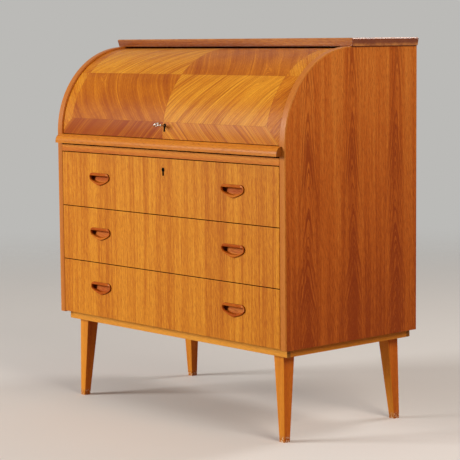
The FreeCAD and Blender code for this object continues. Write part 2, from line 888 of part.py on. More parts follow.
# Pigeonholes and small drawers behind the roll top
def unit():
    """Floor, shelf top, back and uprights, held between the side panels above the leaf."""
    low = leaf_z + size.unit_clear
    high = axis_z + size.unit_height
    y = axis_y - size.unit_front
    long = size.unit_front + size.unit_rear
    keep(board("unit_floor", -inner, y, low, clear_width, long, size.unit_board))
    keep(board("unit_top", -inner, y, high - size.unit_board, clear_width, long, size.unit_board))
    base = low + size.unit_board
    rise = high - size.unit_board - base
    back = axis_y + size.unit_rear - size.unit_back
    keep(board("unit_back", -inner, back, base, clear_width, size.unit_back, rise))
    deep = long - size.unit_back
    pillars = []
    for name, x in (("bay", size.bay_x), ("slot", size.slot_x)):
        pillar = board(f"upright_{name}_right", x, y, base, size.upright_thick, deep, rise)
        pillars += [pillar, mirrored(f"upright_{name}_left", pillar)]
    keep(group("unit_uprights", *pillars))
    bay = size.bay_x + size.upright_thick
    shelf = board("shelf_right", bay, y, base + size.shelf_height, inner - bay, deep, size.upright_thick)
    keep(group("unit_shelves", shelf, mirrored("shelf_left", shelf)))
    for side, sign in SIDES.items():
        small_drawer(side, sign, bay, base, y, back - size.small_rear_gap)


def small_drawer(side, sign, bay, base, y, rear):
    """Small drawer with a turned knob, in the lower part of an outer bay."""
    wide = inner - bay - size.small_gap * 2
    left_x = bay + size.small_gap if sign > 0 else -inner + size.small_gap
    high = size.shelf_height - size.small_gap
    keep(board(f"small_{side}_front", left_x, y, base, wide, size.small_front, high))
    wall_y = y + size.small_front
    wall = high - size.small_drop
    length = rear - wall_y
    right_x = left_x + wide - size.small_wall
    within_x = left_x + size.small_wall
    within = wide - size.small_wall * 2
    end_y = rear - size.small_wall
    walls = [
        board(f"small_{side}_wall_a", left_x, wall_y, base, size.small_wall, length, wall),
        board(f"small_{side}_wall_b", right_x, wall_y, base, size.small_wall, length, wall),
        board(f"small_{side}_end", within_x, end_y, base, within, size.small_wall, wall),
        board(f"small_{side}_floor", within_x, wall_y, base, within, end_y - wall_y, size.small_floor),
    ]
    keep(group(f"small_{side}_box", *walls))
    knob(f"small_{side}_knob", left_x + wide / 2, y, base + high / 2)


def knob(label, x, y, z):
    """Turned knob: a neck that flares to a flat round head."""
    flare = size.knob_neck_length + size.knob_flare
    face = flare + size.knob_rim
    body = new_body(label)
    place(body, x, y, z)
    section = sketch(body, "outline", "XY_Plane")
    outline(section, [
        (ZERO, ZERO), (size.knob_neck, ZERO), (size.knob_neck, -size.knob_neck_length),
        (size.knob_round, -flare), (size.knob_round, -face), (ZERO, -face),
    ])
    turned = body.newObject("PartDesign::Revolution", f"{label}_turned")
    turned.Profile = section
    turned.ReferenceAxis = (section, ["V_Axis"])
    keep(body)


def build():
    """All the sub-parts, in the order in which the desk is put together."""
    for side in SIDES:
        side_panel(side)
        edge_band(side)
    top_panel()
    carcass_boards()
    drawer_slides()
    stand()
    unit()
    leaf()
    lid()
    drawers()
    doc.recompute()


def export():
    """Check every object, then write one file per sub-part."""
    for thing in doc.Objects:
        if {"Invalid", "Error"} & set(thing.State):
            raise ValueError(f"{thing.Label} failed: {thing.State}")
    for piece in nodes:
        if piece.Shape.isNull() or not piece.Shape.isValid():
            raise ValueError(f"{piece.Label} has no valid shape")
    os.makedirs("parts", exist_ok=True)
    for piece in nodes:
        piece.Shape.exportStep(f"parts/{piece.Label}.step")
    print(len(nodes), "sub-parts written")


build()
export()
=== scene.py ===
import json
import logging
import math
from dataclasses import dataclass, field
from enum import Enum
from functools import cached_property
from typing import Callable, ClassVar, Iterable, Optional, Sequence, Union

import bmesh
import bpy
from mathutils import Matrix, Vector


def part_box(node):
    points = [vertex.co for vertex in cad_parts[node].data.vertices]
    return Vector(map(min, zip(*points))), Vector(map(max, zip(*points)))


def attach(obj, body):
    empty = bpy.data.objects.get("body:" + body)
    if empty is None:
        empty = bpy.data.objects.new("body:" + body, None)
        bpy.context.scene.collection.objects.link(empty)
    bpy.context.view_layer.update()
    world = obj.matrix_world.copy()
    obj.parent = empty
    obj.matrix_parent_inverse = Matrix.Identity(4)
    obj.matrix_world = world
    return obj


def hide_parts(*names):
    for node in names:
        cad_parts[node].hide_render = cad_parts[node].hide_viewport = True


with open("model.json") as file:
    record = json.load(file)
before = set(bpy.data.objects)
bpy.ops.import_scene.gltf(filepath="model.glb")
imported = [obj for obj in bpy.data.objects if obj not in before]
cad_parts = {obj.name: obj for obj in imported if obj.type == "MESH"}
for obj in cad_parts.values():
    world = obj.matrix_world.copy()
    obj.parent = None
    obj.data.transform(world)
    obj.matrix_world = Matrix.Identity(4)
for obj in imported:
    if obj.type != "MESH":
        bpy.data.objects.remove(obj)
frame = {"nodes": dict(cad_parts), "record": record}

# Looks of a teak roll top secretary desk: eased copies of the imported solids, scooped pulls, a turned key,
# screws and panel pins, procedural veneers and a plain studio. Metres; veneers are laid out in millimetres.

log = logging.getLogger("desk")

Colour = tuple[float, float, float]
Pair = tuple[float, float]
Ring = tuple[float, Optional[float], float]
Feed = Union[bpy.types.NodeSocket, float, Sequence[float]]
EdgeChoice = Callable[[bmesh.types.BMesh], list[bmesh.types.BMEdge]]
UP, DOWN = Vector((0.0, 0.0, 1.0)), Vector((0.0, 0.0, -1.0))
LEFT, REAR = Vector((-1.0, 0.0, 0.0)), Vector((0.0, 1.0, 0.0))
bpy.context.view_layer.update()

# Millimetres in a metre, how near two places count as one, in metres, and a right angle
METRE = 1000.0
NEAR = 2e-5
QUARTER = math.radians(90.0)

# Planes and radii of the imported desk, in millimetres
AXIS_Y = 13.0
AXIS_Z = 727.0
FRONT_Y = -217.0
LID_RADIUS = 225.0
BAND_RADIUS = 230.0
BODY_LOW = 234.0
BODY_HIGH = 957.0


def linear(red: int, green: int, blue: int) -> Colour:
    """Turn a colour as it is seen on a screen into the linear values that shaders take.

    Args:
        red: Red, 0 to 255.
        green: Green, 0 to 255.
        blue: Blue, 0 to 255.

    Returns:
        The linear colour.
    """
    parts = [value / 255.0 for value in (red, green, blue)]
    return tuple(part / 12.92 if part < 0.04045 else ((part + 0.055) / 1.055) ** 2.4 for part in parts)


class Wiring:
    """Places nodes in one tree and links them."""

    def __init__(self, tree: bpy.types.NodeTree) -> None:
        """Keep the tree that nodes go into."""
        self.tree = tree

    def node(self, kind: str, **settings: object) -> bpy.types.Node:
        """Place a node.

        Args:
            kind: Node type name.
            **settings: Node properties to set.

        Returns:
            The new node.
        """
        made = self.tree.nodes.new(kind)
        for name, value in settings.items():
            setattr(made, name, value)
        return made

    def feed(self, socket: bpy.types.NodeSocket, value: Feed) -> None:
        """Link a socket, or set its own value.

        Args:
            socket: Input to feed.
            value: Output socket, number or vector.
        """
        if isinstance(value, bpy.types.NodeSocket):
            self.tree.links.new(value, socket)
        else:
            socket.default_value = value

    def math(self, operation: str, *values: Feed) -> bpy.types.NodeSocket:
        """Place a Math node.

        Args:
            operation: Name of the operation.
            *values: One to three inputs.

        Returns:
            The result.
        """
        made = self.node("ShaderNodeMath", operation=operation)
        for socket, value in zip(made.inputs, values):
            self.feed(socket, value)
        return made.outputs[0]

    def plus(self, first: Feed, second: Feed) -> bpy.types.NodeSocket:
        """Add two values."""
        return self.math("ADD", first, second)

    def minus(self, first: Feed, second: Feed) -> bpy.types.NodeSocket:
        """Take the second value from the first."""
        return self.math("SUBTRACT", first, second)

    def times(self, first: Feed, second: Feed) -> bpy.types.NodeSocket:
        """Multiply two values."""
        return self.math("MULTIPLY", first, second)

    def over(self, first: Feed, second: Feed) -> bpy.types.NodeSocket:
        """Divide the first value by the second."""
        return self.math("DIVIDE", first, second)

    def times_plus(self, first: Feed, second: Feed, third: Feed) -> bpy.types.NodeSocket:
        """Multiply two values and add a third."""
        return self.math("MULTIPLY_ADD", first, second, third)

    def rest(self, value: Feed) -> bpy.types.NodeSocket:
        """Take a value from one."""
        return self.math("SUBTRACT", 1.0, value)

    def absolute(self, value: Feed) -> bpy.types.NodeSocket:
        """Drop a value's sign."""
        return self.math("ABSOLUTE", value)

    def point(self, x: Feed, y: Feed, z: Feed) -> bpy.types.NodeSocket:
        """Join three values into a vector.

        Args:
            x: First value.
            y: Second value.
            z: Third value.

        Returns:
            The vector.
        """
        made = self.node("ShaderNodeCombineXYZ")
        for socket, value in zip(made.inputs, (x, y, z)):
            self.feed(socket, value)
        return made.outputs[0]

    def millimetres(self) -> tuple[bpy.types.NodeSocket, bpy.types.NodeSocket, bpy.types.NodeSocket]:
        """Read the surface's place on the desk at rest.

        Returns:
            x, y and z in millimetres.
        """
        place = self.node("ShaderNodeTexCoord")
        scaled = self.node("ShaderNodeVectorMath", operation="SCALE")
        self.feed(scaled.inputs[0], place.outputs["Object"])
        scaled.inputs["Scale"].default_value = METRE
        split = self.node("ShaderNodeSeparateXYZ")
        self.feed(split.inputs[0], scaled.outputs[0])
        return split.outputs[0], split.outputs[1], split.outputs[2]

    def noise(self, vector: Feed, detail: float = 2.0, roughness: float = 0.5) -> bpy.types.NodeSocket:
        """Place a noise texture of unit scale.

        Args:
            vector: Where it is read.
            detail: Octaves.
            roughness: Weight of the finer octaves.

        Returns:
            Values about one half.
        """
        made = self.node("ShaderNodeTexNoise")
        self.feed(made.inputs["Vector"], vector)
        made.inputs["Scale"].default_value = 1.0
        made.inputs["Detail"].default_value = detail
        made.inputs["Roughness"].default_value = roughness
        return made.outputs["Fac"]

    def spot(self, axes: Iterable[Feed], size: float) -> bpy.types.NodeSocket:
        """Divide a place's three axes by the size of a mark."""
        return self.point(*(self.over(axis, size) for axis in axes))

    def cloud(
        self, across: Feed, along: Feed, size: Pair, layer: Feed, detail: float = 1.0, roughness: float = 0.5,
    ) -> bpy.types.NodeSocket:
        """Place a noise texture that is drawn out to a width and a length.

        Args:
            across: Place across the marks.
            along: Place along the marks.
            size: Width and length of a mark.
            layer: Which of many patterns is read.
            detail: Octaves.
            roughness: Weight of the finer octaves.

        Returns:
            Values about one half.
        """
        wide, long = size
        spot = self.point(self.over(across, wide), self.over(along, long), layer)
        return self.noise(spot, detail, roughness)

    def step(self, value: Feed, low: float, high: float) -> bpy.types.NodeSocket:
        """Rise smoothly from 0 at one value to 1 at another.

        Args:
            value: What is read.
            low: Value that gives 0.
            high: Value that gives 1.

        Returns:
            The mask.
        """
        made = self.node("ShaderNodeMapRange", interpolation_type="SMOOTHSTEP")
        self.feed(made.inputs["Value"], value)
        made.inputs["From Min"].default_value = low
        made.inputs["From Max"].default_value = high
        return made.outputs["Result"]

    def thin(self, value: Feed, half: float) -> bpy.types.NodeSocket:
        """Draw thin lines where a noise passes through its middle value.

        Args:
            value: The noise.
            half: Half the width of a line, in noise values.

        Returns:
            The lines' mask.
        """
        away = self.absolute(self.minus(value, 0.5))
        return self.rest(self.step(away, half * 0.2, half))

    def mix(self, amount: Feed, first: Feed, second: Feed) -> bpy.types.NodeSocket:
        """Blend two colours.

        Args:
            amount: Share of the second colour.
            first: Colour at 0.
            second: Colour at 1.

        Returns:
            The blended colour.
        """
        made = self.node("ShaderNodeMix", data_type="RGBA")
        self.feed(made.inputs[0], amount)
        for socket, value in ((made.inputs[6], first), (made.inputs[7], second)):
            self.feed(socket, value if isinstance(value, bpy.types.NodeSocket) else (*value, 1.0))
        return made.outputs[2]

    def between(self, amount: Feed, first: Feed, second: Feed) -> bpy.types.NodeSocket:
        """Blend two numbers.

        Args:
            amount: Share of the second number.
            first: Number at 0.
            second: Number at 1.

        Returns:
            The blended number.
        """
        made = self.node("ShaderNodeMix", data_type="FLOAT")
        for socket, value in zip(made.inputs[:1] + made.inputs[2:4], (amount, first, second)):
            self.feed(socket, value)
        return made.outputs[0]

    def ramp(self, value: Feed, *stops: tuple[float, Colour]) -> bpy.types.NodeSocket:
        """Turn a value into a colour.

        Args:
            value: What is read.
            *stops: Places from 0 to 1 with their colours.

        Returns:
            The colour.
        """
        made = self.node("ShaderNodeValToRGB")
        band = made.color_ramp.elements
        while len(band) < len(stops):
            band.new(1.0)
        for element, (place, colour) in zip(band, stops):
            element.position = place
            element.color = (*colour, 1.0)
        self.feed(made.inputs[0], value)
        return made.outputs["Color"]

    def group(self, tree: bpy.types.NodeTree, **feeds: Feed) -> bpy.types.Node:
        """Place a node group.

        Args:
            tree: The group.
            **feeds: Inputs by name, with underscores for spaces.

        Returns:
            The group node.
        """
        made = self.node("ShaderNodeGroup", node_tree=tree)
        for name, value in feeds.items():
            self.feed(made.inputs[name.replace("_", " ").capitalize()], value)
        return made

    def bump(self, height: Feed, strength: float, distance: float) -> bpy.types.NodeSocket:
        """Bend the surface's normal by a height.

        Args:
            height: The height, from 0 to 1.
            strength: How much of the bend is kept.
            distance: What a height of 1 measures, in metres.

        Returns:
            The normal.
        """
        made = self.node("ShaderNodeBump")
        made.inputs["Strength"].default_value = strength
        made.inputs["Distance"].default_value = distance
        self.feed(made.inputs["Height"], height)
        return made.outputs["Normal"]

    def blend(self, amount: Feed, first: Feed, second: Feed) -> bpy.types.NodeSocket:
        """Blend two shaders.

        Args:
            amount: Share of the second shader.
            first: Shader at 0.
            second: Shader at 1.

        Returns:
            The blended shader.
        """
        made = self.node("ShaderNodeMixShader")
        for socket, value in zip(made.inputs, (amount, first, second)):
            self.feed(socket, value)
        return made.outputs[0]

    def seen(self) -> bpy.types.NodeSocket:
        """Tell rays that see or mirror a surface from those that only carry its light.

        Returns:
            1 for camera, glossy and transmission rays.
        """
        path = self.node("ShaderNodeLightPath")
        seen = self.math("MAXIMUM", path.outputs["Is Camera Ray"], path.outputs["Is Glossy Ray"])
        return self.math("MAXIMUM", seen, path.outputs["Is Transmission Ray"])


def new_material(name: str) -> tuple[bpy.types.Material, Wiring, bpy.types.Node]:
    """Start a material of nodes.

    Args:
        name: Name of the material.

    Returns:
        The material, its wiring and its Principled shader.
    """
    material = bpy.data.materials.new(name)
    material.use_nodes = True
    return material, Wiring(material.node_tree), material.node_tree.nodes["Principled BSDF"]


def new_group(name: str, inputs: Sequence[str], outputs: Sequence[str]) -> tuple[Wiring, dict, dict]:
    """Start a shader node group whose sockets are plain numbers.

    Args:
        name: Name of the group.
        inputs: Names of its inputs.
        outputs: Names of its outputs.

    Returns:
        The wiring, the inputs' sockets by name and the outputs' sockets by name.
    """
    tree = bpy.data.node_groups.new(name, "ShaderNodeTree")
    for names, way in ((inputs, "INPUT"), (outputs, "OUTPUT")):
        for label in names:
            tree.interface.new_socket(label, in_out=way, socket_type="NodeSocketFloat")
    wiring = Wiring(tree)
    start = wiring.node("NodeGroupInput")
    end = wiring.node("NodeGroupOutput")
    given = {label: start.outputs[label] for label in inputs}
    put = {label: end.inputs[label] for label in outputs}
    return wiring, given, put


class Effects:
    """Shader node groups that several finishes share, with the sizes of their marks in millimetres."""

    drift_size = (90.0, 420.0)
    drift_far = 9.0
    tone_size = (34.0, 1500.0)
    broad_size = (5.2, 420.0)
    narrow_size = (1.9, 260.0)
    narrow_share = 0.45
    fleck_size = (2.8, 10.0)
    fleck_share = 0.42
    pore_size = (0.9, 14.0)
    stagger = 6.1
    rub_size = 60.0
    rub_rough = 0.16
    fibre_rough = -0.05
    pore_rough = 0.14
    pore_height = -0.7
    fibre_height = 0.3
    patch_size = 24.0
    joint_shade_depth = (0.95, 0.8)

    @cached_property
    def grain(self) -> bpy.types.NodeTree:
        """Long fibres: broad tone, streaks with short flecks, and open pores, across and along the grain.

        Returns:
            The group, which takes millimetres.
        """
        outputs = ("Tone", "Streak", "Pores")
        wiring, given, put = new_group("Teak grain", ("Across", "Along", "Depth"), outputs)
        across, along, depth = given["Across"], given["Along"], given["Depth"]

        def fibres(
            sideways: Feed, size: Pair, detail: float, roughness: float, stagger: float = 0.0,
        ) -> bpy.types.NodeSocket:
            """Noise drawn out along the grain.

            Args:
                sideways: Place across the grain.
                size: Width and length of a mark.
                detail: Octaves.
                roughness: Weight of the finer octaves.
                stagger: How far neighbouring marks are shifted along the grain, so that they stand in no row.

            Returns:
                The noise.
            """
            shifted = wiring.times_plus(sideways, stagger, along)
            return wiring.cloud(sideways, shifted, size, wiring.over(depth, size[0]), detail, roughness)

        wander = fibres(across, self.drift_size, detail=1.0, roughness=0.5)
        drift = wiring.times_plus(wander, self.drift_far, across)
        tone = fibres(drift, self.tone_size, detail=2.0, roughness=0.55)
        wiring.feed(put["Tone"], wiring.step(tone, low=0.3, high=0.7))
        broad = fibres(drift, self.broad_size, detail=2.0, roughness=0.55)
        broad = wiring.step(broad, low=0.3, high=0.7)
        narrow = fibres(drift, self.narrow_size, detail=1.0, roughness=0.5)
        narrow = wiring.step(narrow, low=0.32, high=0.68)
        flecks = fibres(drift, self.fleck_size, detail=2.0, roughness=0.6, stagger=self.stagger)
        flecks = wiring.step(flecks, low=0.35, high=0.65)
        streak = wiring.between(self.narrow_share, broad, narrow)
        wiring.feed(put["Streak"], wiring.between(self.fleck_share, streak, flecks))
        pores = fibres(drift, self.pore_size, detail=1.0, roughness=0.5, stagger=self.stagger)
        wiring.feed(put["Pores"], wiring.step(pores, low=0.54, high=0.68))
        return wiring.tree

    @cached_property
    def polish(self) -> bpy.types.NodeTree:
        """Satin polish: roughness that varies with rubbing, fibres and pores, and the open grain's height.

        Returns:
            The group.
        """
        inputs = ("X", "Y", "Z", "Streak", "Pores", "Base")
        wiring, given, put = new_group("Satin polish", inputs, ("Roughness", "Height"))
        spot = wiring.spot((given[axis] for axis in "XYZ"), self.rub_size)
        cloudy = wiring.noise(spot, detail=3.0, roughness=0.6)
        rubbed = wiring.times_plus(cloudy, self.rub_rough, -self.rub_rough / 2.0)
        pitted = wiring.times(given["Pores"], self.pore_rough)
        fibre = wiring.times_plus(given["Streak"], self.fibre_rough, pitted)
        wiring.feed(put["Roughness"], wiring.plus(given["Base"], wiring.plus(rubbed, fibre)))
        raised = wiring.times(given["Streak"], self.fibre_height)
        wiring.feed(put["Height"], wiring.times_plus(given["Pores"], self.pore_height, raised))
        return wiring.tree

    @cached_property
    def wear(self) -> bpy.types.NodeTree:
        """Use and light: places with the wear-and-highlight mark made light in patches, as rubbed wear and as
        painted highlight, and painted shade on faces at joints and in hollows.

        Returns:
            The group.
        """
        wiring, given, put = new_group("Wear, highlight and joint shade", ("X", "Y", "Z"), ("Wear and highlight", "Painted shade"))
        mark = wiring.node("ShaderNodeAttribute", attribute_name="wear_and_highlight")
        spot = wiring.spot((given[axis] for axis in "XYZ"), self.patch_size)
        patches = wiring.step(wiring.noise(spot, detail=3.0, roughness=0.6), low=0.42, high=0.66)
        wiring.feed(put["Wear and highlight"], wiring.times(mark.outputs["Fac"], patches))
        # painted shade on faces in gaps, under overhangs and in hollows, a little uneven in patches
        joint = wiring.node("ShaderNodeAttribute", attribute_name="joint")
        depth = wiring.between(patches, *self.joint_shade_depth)
        wiring.feed(put["Painted shade"], wiring.times(joint.outputs["Fac"], depth))
        return wiring.tree


EFFECTS = Effects()


@dataclass
class Lay:
    """How the grain runs over a surface, in millimetres, with a tone and a mark of its own."""

    across: Feed
    along: Feed
    depth: Feed
    shade: Optional[bpy.types.NodeSocket] = None
    lines: Optional[bpy.types.NodeSocket] = None
    mark: Optional[bpy.types.NodeSocket] = None


class Run(Enum):
    """Ways in which the grain of a piece runs."""

    UPRIGHT = "upright"
    SIDEWAYS = "sideways"
    INWARD = "inward"
    FRONT = "front"
    LEAVES = "leaves"
    BAND = "band"
    LID = "lid"
    END_SIDEWAYS = "end_sideways"
    TOP_BOARD = "top_board"


class Layout:
    """Lays the grain of one material by its run; lengths are in millimetres.

    A pair whose name ends in gain is what a value is multiplied by, and what is then added.
    """

    end_fade = (0.9, 0.3)
    end_dark = 0.7

    lozenge_z = 640.0
    lozenge_half = (15.0, 21.0)
    lozenge_line = (0.02, 0.1)
    lozenge_dark = 0.5

    top_lean = 0.2
    top_side = 263.6
    top_front = -198.4
    painted_light_below = (960.0, 967.0)
    top_end_dark = 0.8
    painted_light_strength = 0.3
    corner_fade = (1.9, 1.3)

    leaf_width = 153.33
    leaf_sway = 22.0
    sway_long = 260.0
    sway_shift = 7.3
    arch_round = 40.0
    arch_rise = 0.075
    arch_bend = -58.0
    arch_power = 3.0
    ring_size = (6.5, 700.0)
    ring_shift = 0.05
    ring_line = 0.055
    ring_gain = (1.15, 0.1)
    down_gain = (0.6, 0.45)
    heart_fade = (5.0, 48.0)
    heart_dark = -0.16
    foot_dark = -0.62
    side_light = 0.34
    shadow_under_top = (3.0, 1.0)

    lid_middle = -7.0
    lid_joint = 178.8
    lid_border = 386.0
    lid_edge = 432.0
    lid_band = 43.0
    lid_foot = 2.0
    lid_slope = 0.58
    lid_slope_more = 0.52
    lid_curl = 0.0018
    lid_curl_less = -0.0028
    lid_along = -0.8
    band_slope = 1.15
    band_wave = 36.0
    border_shift = 90.0
    border_wide = 44.0
    field_wave = 40.0
    wave_size = (230.0, 170.0)
    tint_size = (95.0, 70.0)
    tint_layer = 5.0
    tint_gain = (0.5, -0.25)
    tone_gain = (0.48, -0.16)
    border_gain = (-0.38, 0.66)
    red_gain = (0.02, -0.22)
    bold_size = (17.0, 900.0)
    bold_line = 0.045
    bold_gain = (0.4, 0.6)
    uneven_size = (30.0, 160.0)
    uneven_layer = 3.0
    uneven_gain = (0.8, 0.12)
    faint_size = (5.0, 700.0)
    faint_line = 0.09
    faint_gain = (0.1, 0.3)
    mottle_size = (5.0, 45.0)
    mottle_layer = 7.0
    mottle_gain = (0.9, -0.45)
    eye_out = 326.0
    eye_away = 17.0
    eye_skew = 1.15
    eye_wide = 16.0
    eye_long = 46.0
    eye_bend = -26.0
    no_seam = 9.0
    seam_fade = (0.2, 0.9)
    seam_dark = 0.35

    def __init__(self, wiring: Wiring, ends: float = 0.0) -> None:
        """Read the surface's place.

        Args:
            wiring: The material's wiring.
            ends: Distance from the middle plane past which a sideways piece shows its end grain.
        """
        self.wiring = wiring
        self.ends = ends
        self.x, self.y, self.z = wiring.millimetres()

    def lay(self, run: Run) -> Lay:
        """Choose the layout of a run.

        Args:
            run: How the grain runs.

        Returns:
            The layout.
        """
        plain = {
            Run.UPRIGHT: (self.x, self.z, self.y),
            Run.SIDEWAYS: (self.z, self.x, self.y),
            Run.INWARD: (self.x, self.y, self.z),
        }
        if run in plain:
            return Lay(*plain[run])
        return getattr(self, run.value)()

    def past(self, value: Feed, place: float, fade: Pair) -> bpy.types.NodeSocket:
        """Mark what comes near a place or lies past it.

        Args:
            value: What is read.
            place: The place.
            fade: How far before the place the mark begins, and how far before it is full.

        Returns:
            The mask.
        """
        begins, full = fade
        return self.wiring.step(value, place - begins, place - full)

    def front(self) -> Lay:
        """Straight upright grain through all three drawers, with a let-in lozenge round the keyhole.

        Returns:
            The layout.
        """
        w = self.wiring
        half_wide, half_tall = self.lozenge_half
        side = w.over(w.absolute(self.x), half_wide)
        rise = w.over(w.absolute(w.minus(self.z, self.lozenge_z)), half_tall)
        rim = w.absolute(w.minus(w.plus(side, rise), 1.0))
        line = w.rest(w.step(rim, *self.lozenge_line))
        return Lay(self.x, self.z, self.y, mark=w.times(line, self.lozenge_dark))

    def end_sideways(self) -> Lay:
        """Grain along the piece, with darker end grain on its two ends.

        Returns:
            The layout.
        """
        w = self.wiring
        end = self.past(w.absolute(self.x), self.ends, self.end_fade)
        return Lay(self.z, self.x, self.y, mark=w.times(end, self.end_dark))

    def top_board(self) -> Lay:
        """Grain along the top board: leaning ends with dark end grain, painted light on their lower part, and
        a dark line down each front corner.

        Returns:
            The layout.
        """
        w = self.wiring
        side = w.times_plus(self.z, -self.top_lean, w.absolute(self.x))
        front = w.times_plus(self.z, -self.top_lean, w.times(self.y, -1.0))
        end = self.past(side, self.top_side, self.end_fade)
        # painted light on the lower part of each end
        low = w.times(end, w.rest(w.step(self.z, *self.painted_light_below)))
        corner = self.past(side, self.top_side, self.corner_fade)
        corner = w.times(corner, self.past(front, self.top_front, self.corner_fade))
        mark = w.math("MAXIMUM", corner, w.times(w.minus(end, low), self.top_end_dark))
        return Lay(self.z, self.x, self.y, shade=w.times(low, self.painted_light_strength), mark=mark)

    def leaves(self) -> Lay:
        """Three slip-matched leaves of upright grain, each with pointed arches about its middle.

        Returns:
            The layout.
        """
        w = self.wiring
        from_front = w.minus(self.y, FRONT_Y)
        within = w.math("MODULO", from_front, self.leaf_width)
        number = w.math("FLOOR", w.over(from_front, self.leaf_width))
        spot = w.point(w.over(self.z, self.sway_long), w.times(number, self.sway_shift), 0.0)
        sway = w.times_plus(w.noise(spot, detail=2.0, roughness=0.5), self.leaf_sway, -self.leaf_sway / 2.0)
        aside = w.plus(w.minus(within, self.leaf_width / 2.0), sway)
        spread = w.math("SQRT", w.times_plus(aside, aside, self.arch_round))
        down = w.over(w.minus(BODY_HIGH, self.z), BODY_HIGH - BODY_LOW)
        down = w.math("MAXIMUM", down, 0.0)
        bend = w.times(w.math("POWER", down, self.arch_power), self.arch_bend)
        arch = w.plus(spread, w.times_plus(self.z, self.arch_rise, bend))
        leaf = w.times(number, self.ring_shift)
        rings = w.cloud(arch, self.z, self.ring_size, leaf, detail=2.0, roughness=0.6)
        heart = w.rest(w.step(w.absolute(aside), *self.heart_fade))
        strength = w.times(heart, w.times_plus(down, *self.down_gain))
        lines = w.times(w.thin(rings, self.ring_line), w.times_plus(strength, *self.ring_gain))
        shade = w.times_plus(heart, self.heart_dark, w.times_plus(down, self.foot_dark, self.side_light))
        # painted shadow along the side's top, under the top board
        mark = self.past(self.z, BODY_HIGH, self.shadow_under_top)
        return Lay(self.y, self.z, self.x, shade=shade, lines=lines, mark=mark)

    def round_the_axis(self, radius: float) -> bpy.types.NodeSocket:
        """Measure round the roll top's axis.

        Args:
            radius: Radius at which lengths are taken.

        Returns:
            Arc length above the axis, from the front, in millimetres.
        """
        w = self.wiring
        angle = w.math("ARCTAN2", w.minus(self.z, AXIS_Z), w.minus(AXIS_Y, self.y))
        return w.times(angle, radius)

    def band(self) -> Lay:
        """Grain that follows the edge band up its straight part and over the quarter circle.

        Returns:
            The layout.
        """
        w = self.wiring
        above = w.math("GREATER_THAN", self.z, AXIS_Z)
        straight = w.minus(self.z, AXIS_Z)
        return Lay(self.x, w.between(above, straight, self.round_the_axis(BAND_RADIUS)), 0.0)

    def eye(self, out: Feed, away: Feed) -> bpy.types.NodeSocket:
        """Bend the lid's figure round the eye in each quarter.

        Args:
            out: Distance from the lid's middle.
            away: Distance from the joint across the lid.

        Returns:
            How far the figure is shifted, in millimetres.
        """
        w = self.wiring
        beside = w.minus(out, self.eye_out)
        beyond = w.minus(away, self.eye_away)
        wide = w.over(w.times_plus(beyond, self.eye_skew, beside), self.eye_wide)
        long = w.over(w.times_plus(beside, -self.eye_skew, beyond), self.eye_long)
        far = w.times_plus(wide, wide, w.times(long, long))
        return w.times(w.math("EXPONENT", w.times(far, -1.0)), self.eye_bend)

    def lid(self) -> Lay:
        """Four-way match about the lid's middle, inside a cross-banded border with mitred lower corners.

        Returns:
            The layout.
        """
        w = self.wiring
        rise = self.round_the_axis(LID_RADIUS)
        sideways = w.minus(self.x, self.lid_middle)
        out = w.absolute(sideways)
        over = w.minus(rise, self.lid_joint)
        away = w.absolute(over)
        edge = w.over(w.minus(self.lid_edge, out), self.lid_edge - self.lid_border)
        foot = w.over(w.plus(rise, self.lid_foot), self.lid_band)
        on_band = w.times(w.math("LESS_THAN", foot, 1.0), w.math("LESS_THAN", foot, edge))
        on_edge = w.times(w.math("LESS_THAN", edge, 1.0), w.rest(on_band))
        in_field = w.rest(w.plus(on_band, on_edge))

        def by_zone(middle: Feed, low: Feed, side: Feed) -> bpy.types.NodeSocket:
            """Choose by the zone of the lid.

            Args:
                middle: Value in the matched field.
                low: Value on the band along the foot.
                side: Value on the border at each side.

            Returns:
                The value of the zone.
            """
            inner = w.plus(w.times(middle, in_field), w.times(low, on_band))
            return w.plus(inner, w.times(side, on_edge))

        hand = w.times(w.math("SIGN", sideways), w.math("SIGN", over))
        bright = w.times_plus(hand, -0.5, 0.5)
        half = w.times_plus(w.math("SIGN", sideways), 0.5, 0.5)
        tone = by_zone(bright, half, w.times_plus(bright, *self.border_gain))
        red = w.times(on_band, w.times_plus(half, *self.red_gain))
        tint = w.cloud(out, away, self.tint_size, self.tint_layer)
        tint = w.times(w.times_plus(tint, *self.tint_gain), in_field)
        shade = w.plus(w.plus(w.times_plus(tone, *self.tone_gain), red), tint)

        wave = w.cloud(out, away, self.wave_size, 0.0)
        swing = w.times_plus(wave, self.field_wave, self.eye(out, away))
        lean = w.times_plus(bright, self.lid_slope_more, self.lid_slope)
        lean = w.times_plus(away, w.times_plus(bright, self.lid_curl_less, self.lid_curl), lean)
        slant = w.times_plus(away, lean, w.plus(out, swing))
        slant_band = w.times_plus(rise, self.band_slope, w.plus(out, w.times(wave, self.band_wave)))
        slant_edge = w.plus(away, w.plus(out, self.border_shift))
        across = by_zone(slant, slant_band, slant_edge)
        along = w.times_plus(out, self.lid_along, away)

        coarse = w.cloud(across, along, self.bold_size, on_band)
        uneven = w.cloud(across, along, self.uneven_size, self.uneven_layer)
        bold = w.times(w.thin(coarse, self.bold_line), w.times_plus(uneven, *self.uneven_gain))
        bold = w.times(bold, w.times_plus(bright, *self.bold_gain))
        fine = w.cloud(across, along, self.faint_size, on_edge)
        faint = w.times(w.thin(fine, self.faint_line), w.times_plus(on_band, *self.faint_gain))
        lines = w.math("MAXIMUM", bold, faint)
        mottle = w.cloud(across, along, self.mottle_size, self.mottle_layer, detail=3.0, roughness=0.6)
        shade = w.plus(shade, w.times(w.times_plus(mottle, *self.mottle_gain), w.rest(in_field)))

        seams = w.between(in_field, self.no_seam, w.math("MINIMUM", out, away))
        border = w.absolute(w.minus(w.math("MINIMUM", edge, foot), 1.0))
        seams = w.math("MINIMUM", seams, w.times(border, self.border_wide))
        mark = w.times(w.rest(w.step(seams, *self.seam_fade)), self.seam_dark)
        return Lay(across, along, 0.0, shade=shade, lines=lines, mark=mark)


